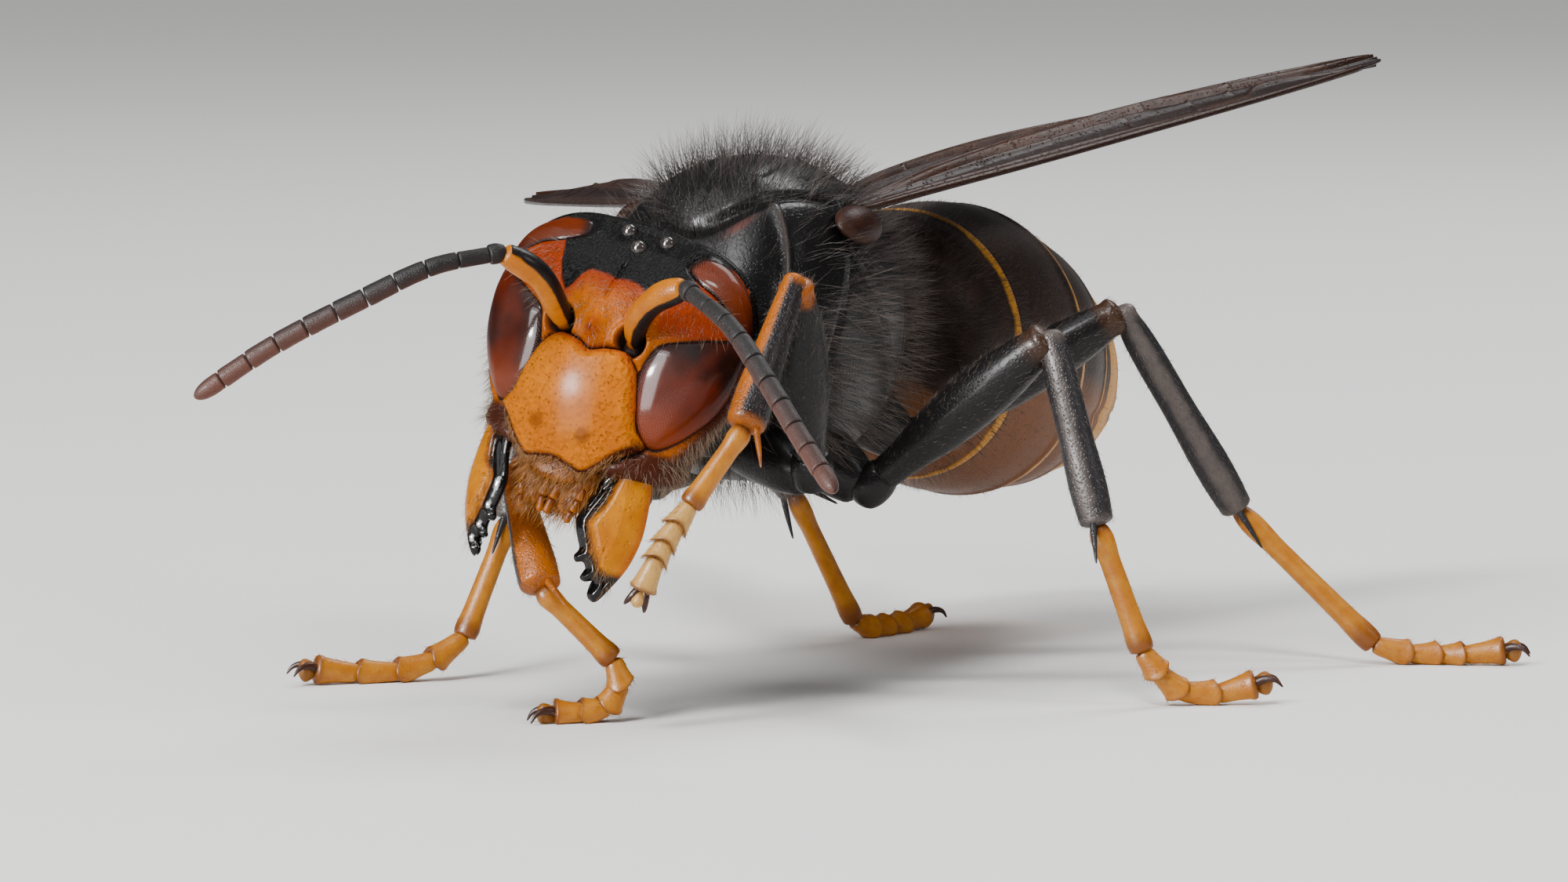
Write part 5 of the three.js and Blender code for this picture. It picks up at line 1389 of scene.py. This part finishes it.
head_back = soft_step(head_skin[..., 1], -0.9, 0.2) * soft_step(1.6 - head_skin[..., 2], 0, 1)
crown_mask = np.where((above_crown_edge > 0) & (from_eye > 0.08), 1.0, 0)
cheek_mask = np.where((from_eye > 0.06) & (above_crown_edge < -0.05), head_back + 0.12, 0)
cheek_mask = cheek_mask * np.where((from_clypeus > 0.1) & (from_socket > 0.45), 1, 0)
for name, finish, mask, count, seed, length, flow, stand, width in (
    ("crown", dark_hair, crown_mask, 700, 31, 0.26, (0, 0.6, 0.6), 0.8, 0.007),
    ("cheeks", pale_hair, cheek_mask, 2000, 32, 0.34, (0, 0.4, -1), 0.55, 0.009),
):
    shells = Shells()
    rng = np.random.default_rng(seed)
    grow(shells, head_skin, count, rng, length, flow, stand, width, mask, BRISTLE_LEVELS)
    fit(shells.piece(f"hairs_{name}", finish, from_head), "black_cuticle")

shells = Shells()
rng = np.random.default_rng(41)
grow(shells, clypeus_front, 900, rng, 0.13, (0, -0.3, -1), 0.7, 0.008)
lower_rim = soft_step(-clypeus_front[..., 2], 1.6, 1.9) * np.where(to_edge < 0.12, 1, 0)
grow(shells, clypeus_front, 420, rng, 0.3, (0, -0.3, -1), 0.25, 0.01, lower_rim, BRISTLE_LEVELS)
jaw_open = np.where(to_cutting > 0.24, 1.0, 0)[:JAW_FRONT_ROWS]
fringe = np.where((to_cutting > 0.27) & (to_cutting < 0.4), 1.0, 0)[:JAW_FRONT_ROWS]
for pose in MANDIBLE_POSE.values():
    jaw_front = jaw_place(*pose)[:JAW_FRONT_ROWS]
    grow(shells, jaw_front, 420, rng, 0.14, (0, -0.1, -1), 0.4, 0.008, jaw_open)
    grow(shells, jaw_front, 160, rng, 0.3, (0, -0.2, -1), 0.45, 0.009, fringe, BRISTLE_LEVELS)
fit(shells.piece("hairs_face", golden_hair, from_head), "orange_cuticle")
shells = Shells()
for grid in mouth_skins:
    grow(shells, grid, 620, rng, 0.46, (0, -0.6, -1), 0.5, 0.017)
fit(shells.piece("hairs_mouth", amber_hair, from_head), "mouthparts")

for number, (leg_name, skins) in enumerate(leg_skins.items()):
    femur_rings, tibia_rings, foot_rings, femur_axis, shin_axis = skins
    rng = np.random.default_rng(51 + number)
    shells = Shells()
    grow(shells, femur_rings, 1300, rng, 0.2, femur_axis, 0.35, 0.01)
    grow(shells, tibia_rings, 1000, rng, 0.18, shin_axis, 0.35, 0.01)
    fit(shells.piece(f"hairs_leg_{leg_name}", side_hair), "black_cuticle")
    shells = Shells()
    for rings in foot_rings:
        toward = unit(rings[-1].mean(0) - rings[0].mean(0))
        grow(shells, rings, 130, rng, 0.15, toward, 0.35, 0.012)
    off_floor(shells)
    fit(shells.piece(f"hairs_foot_{leg_name}", golden_hair), "tarsus")
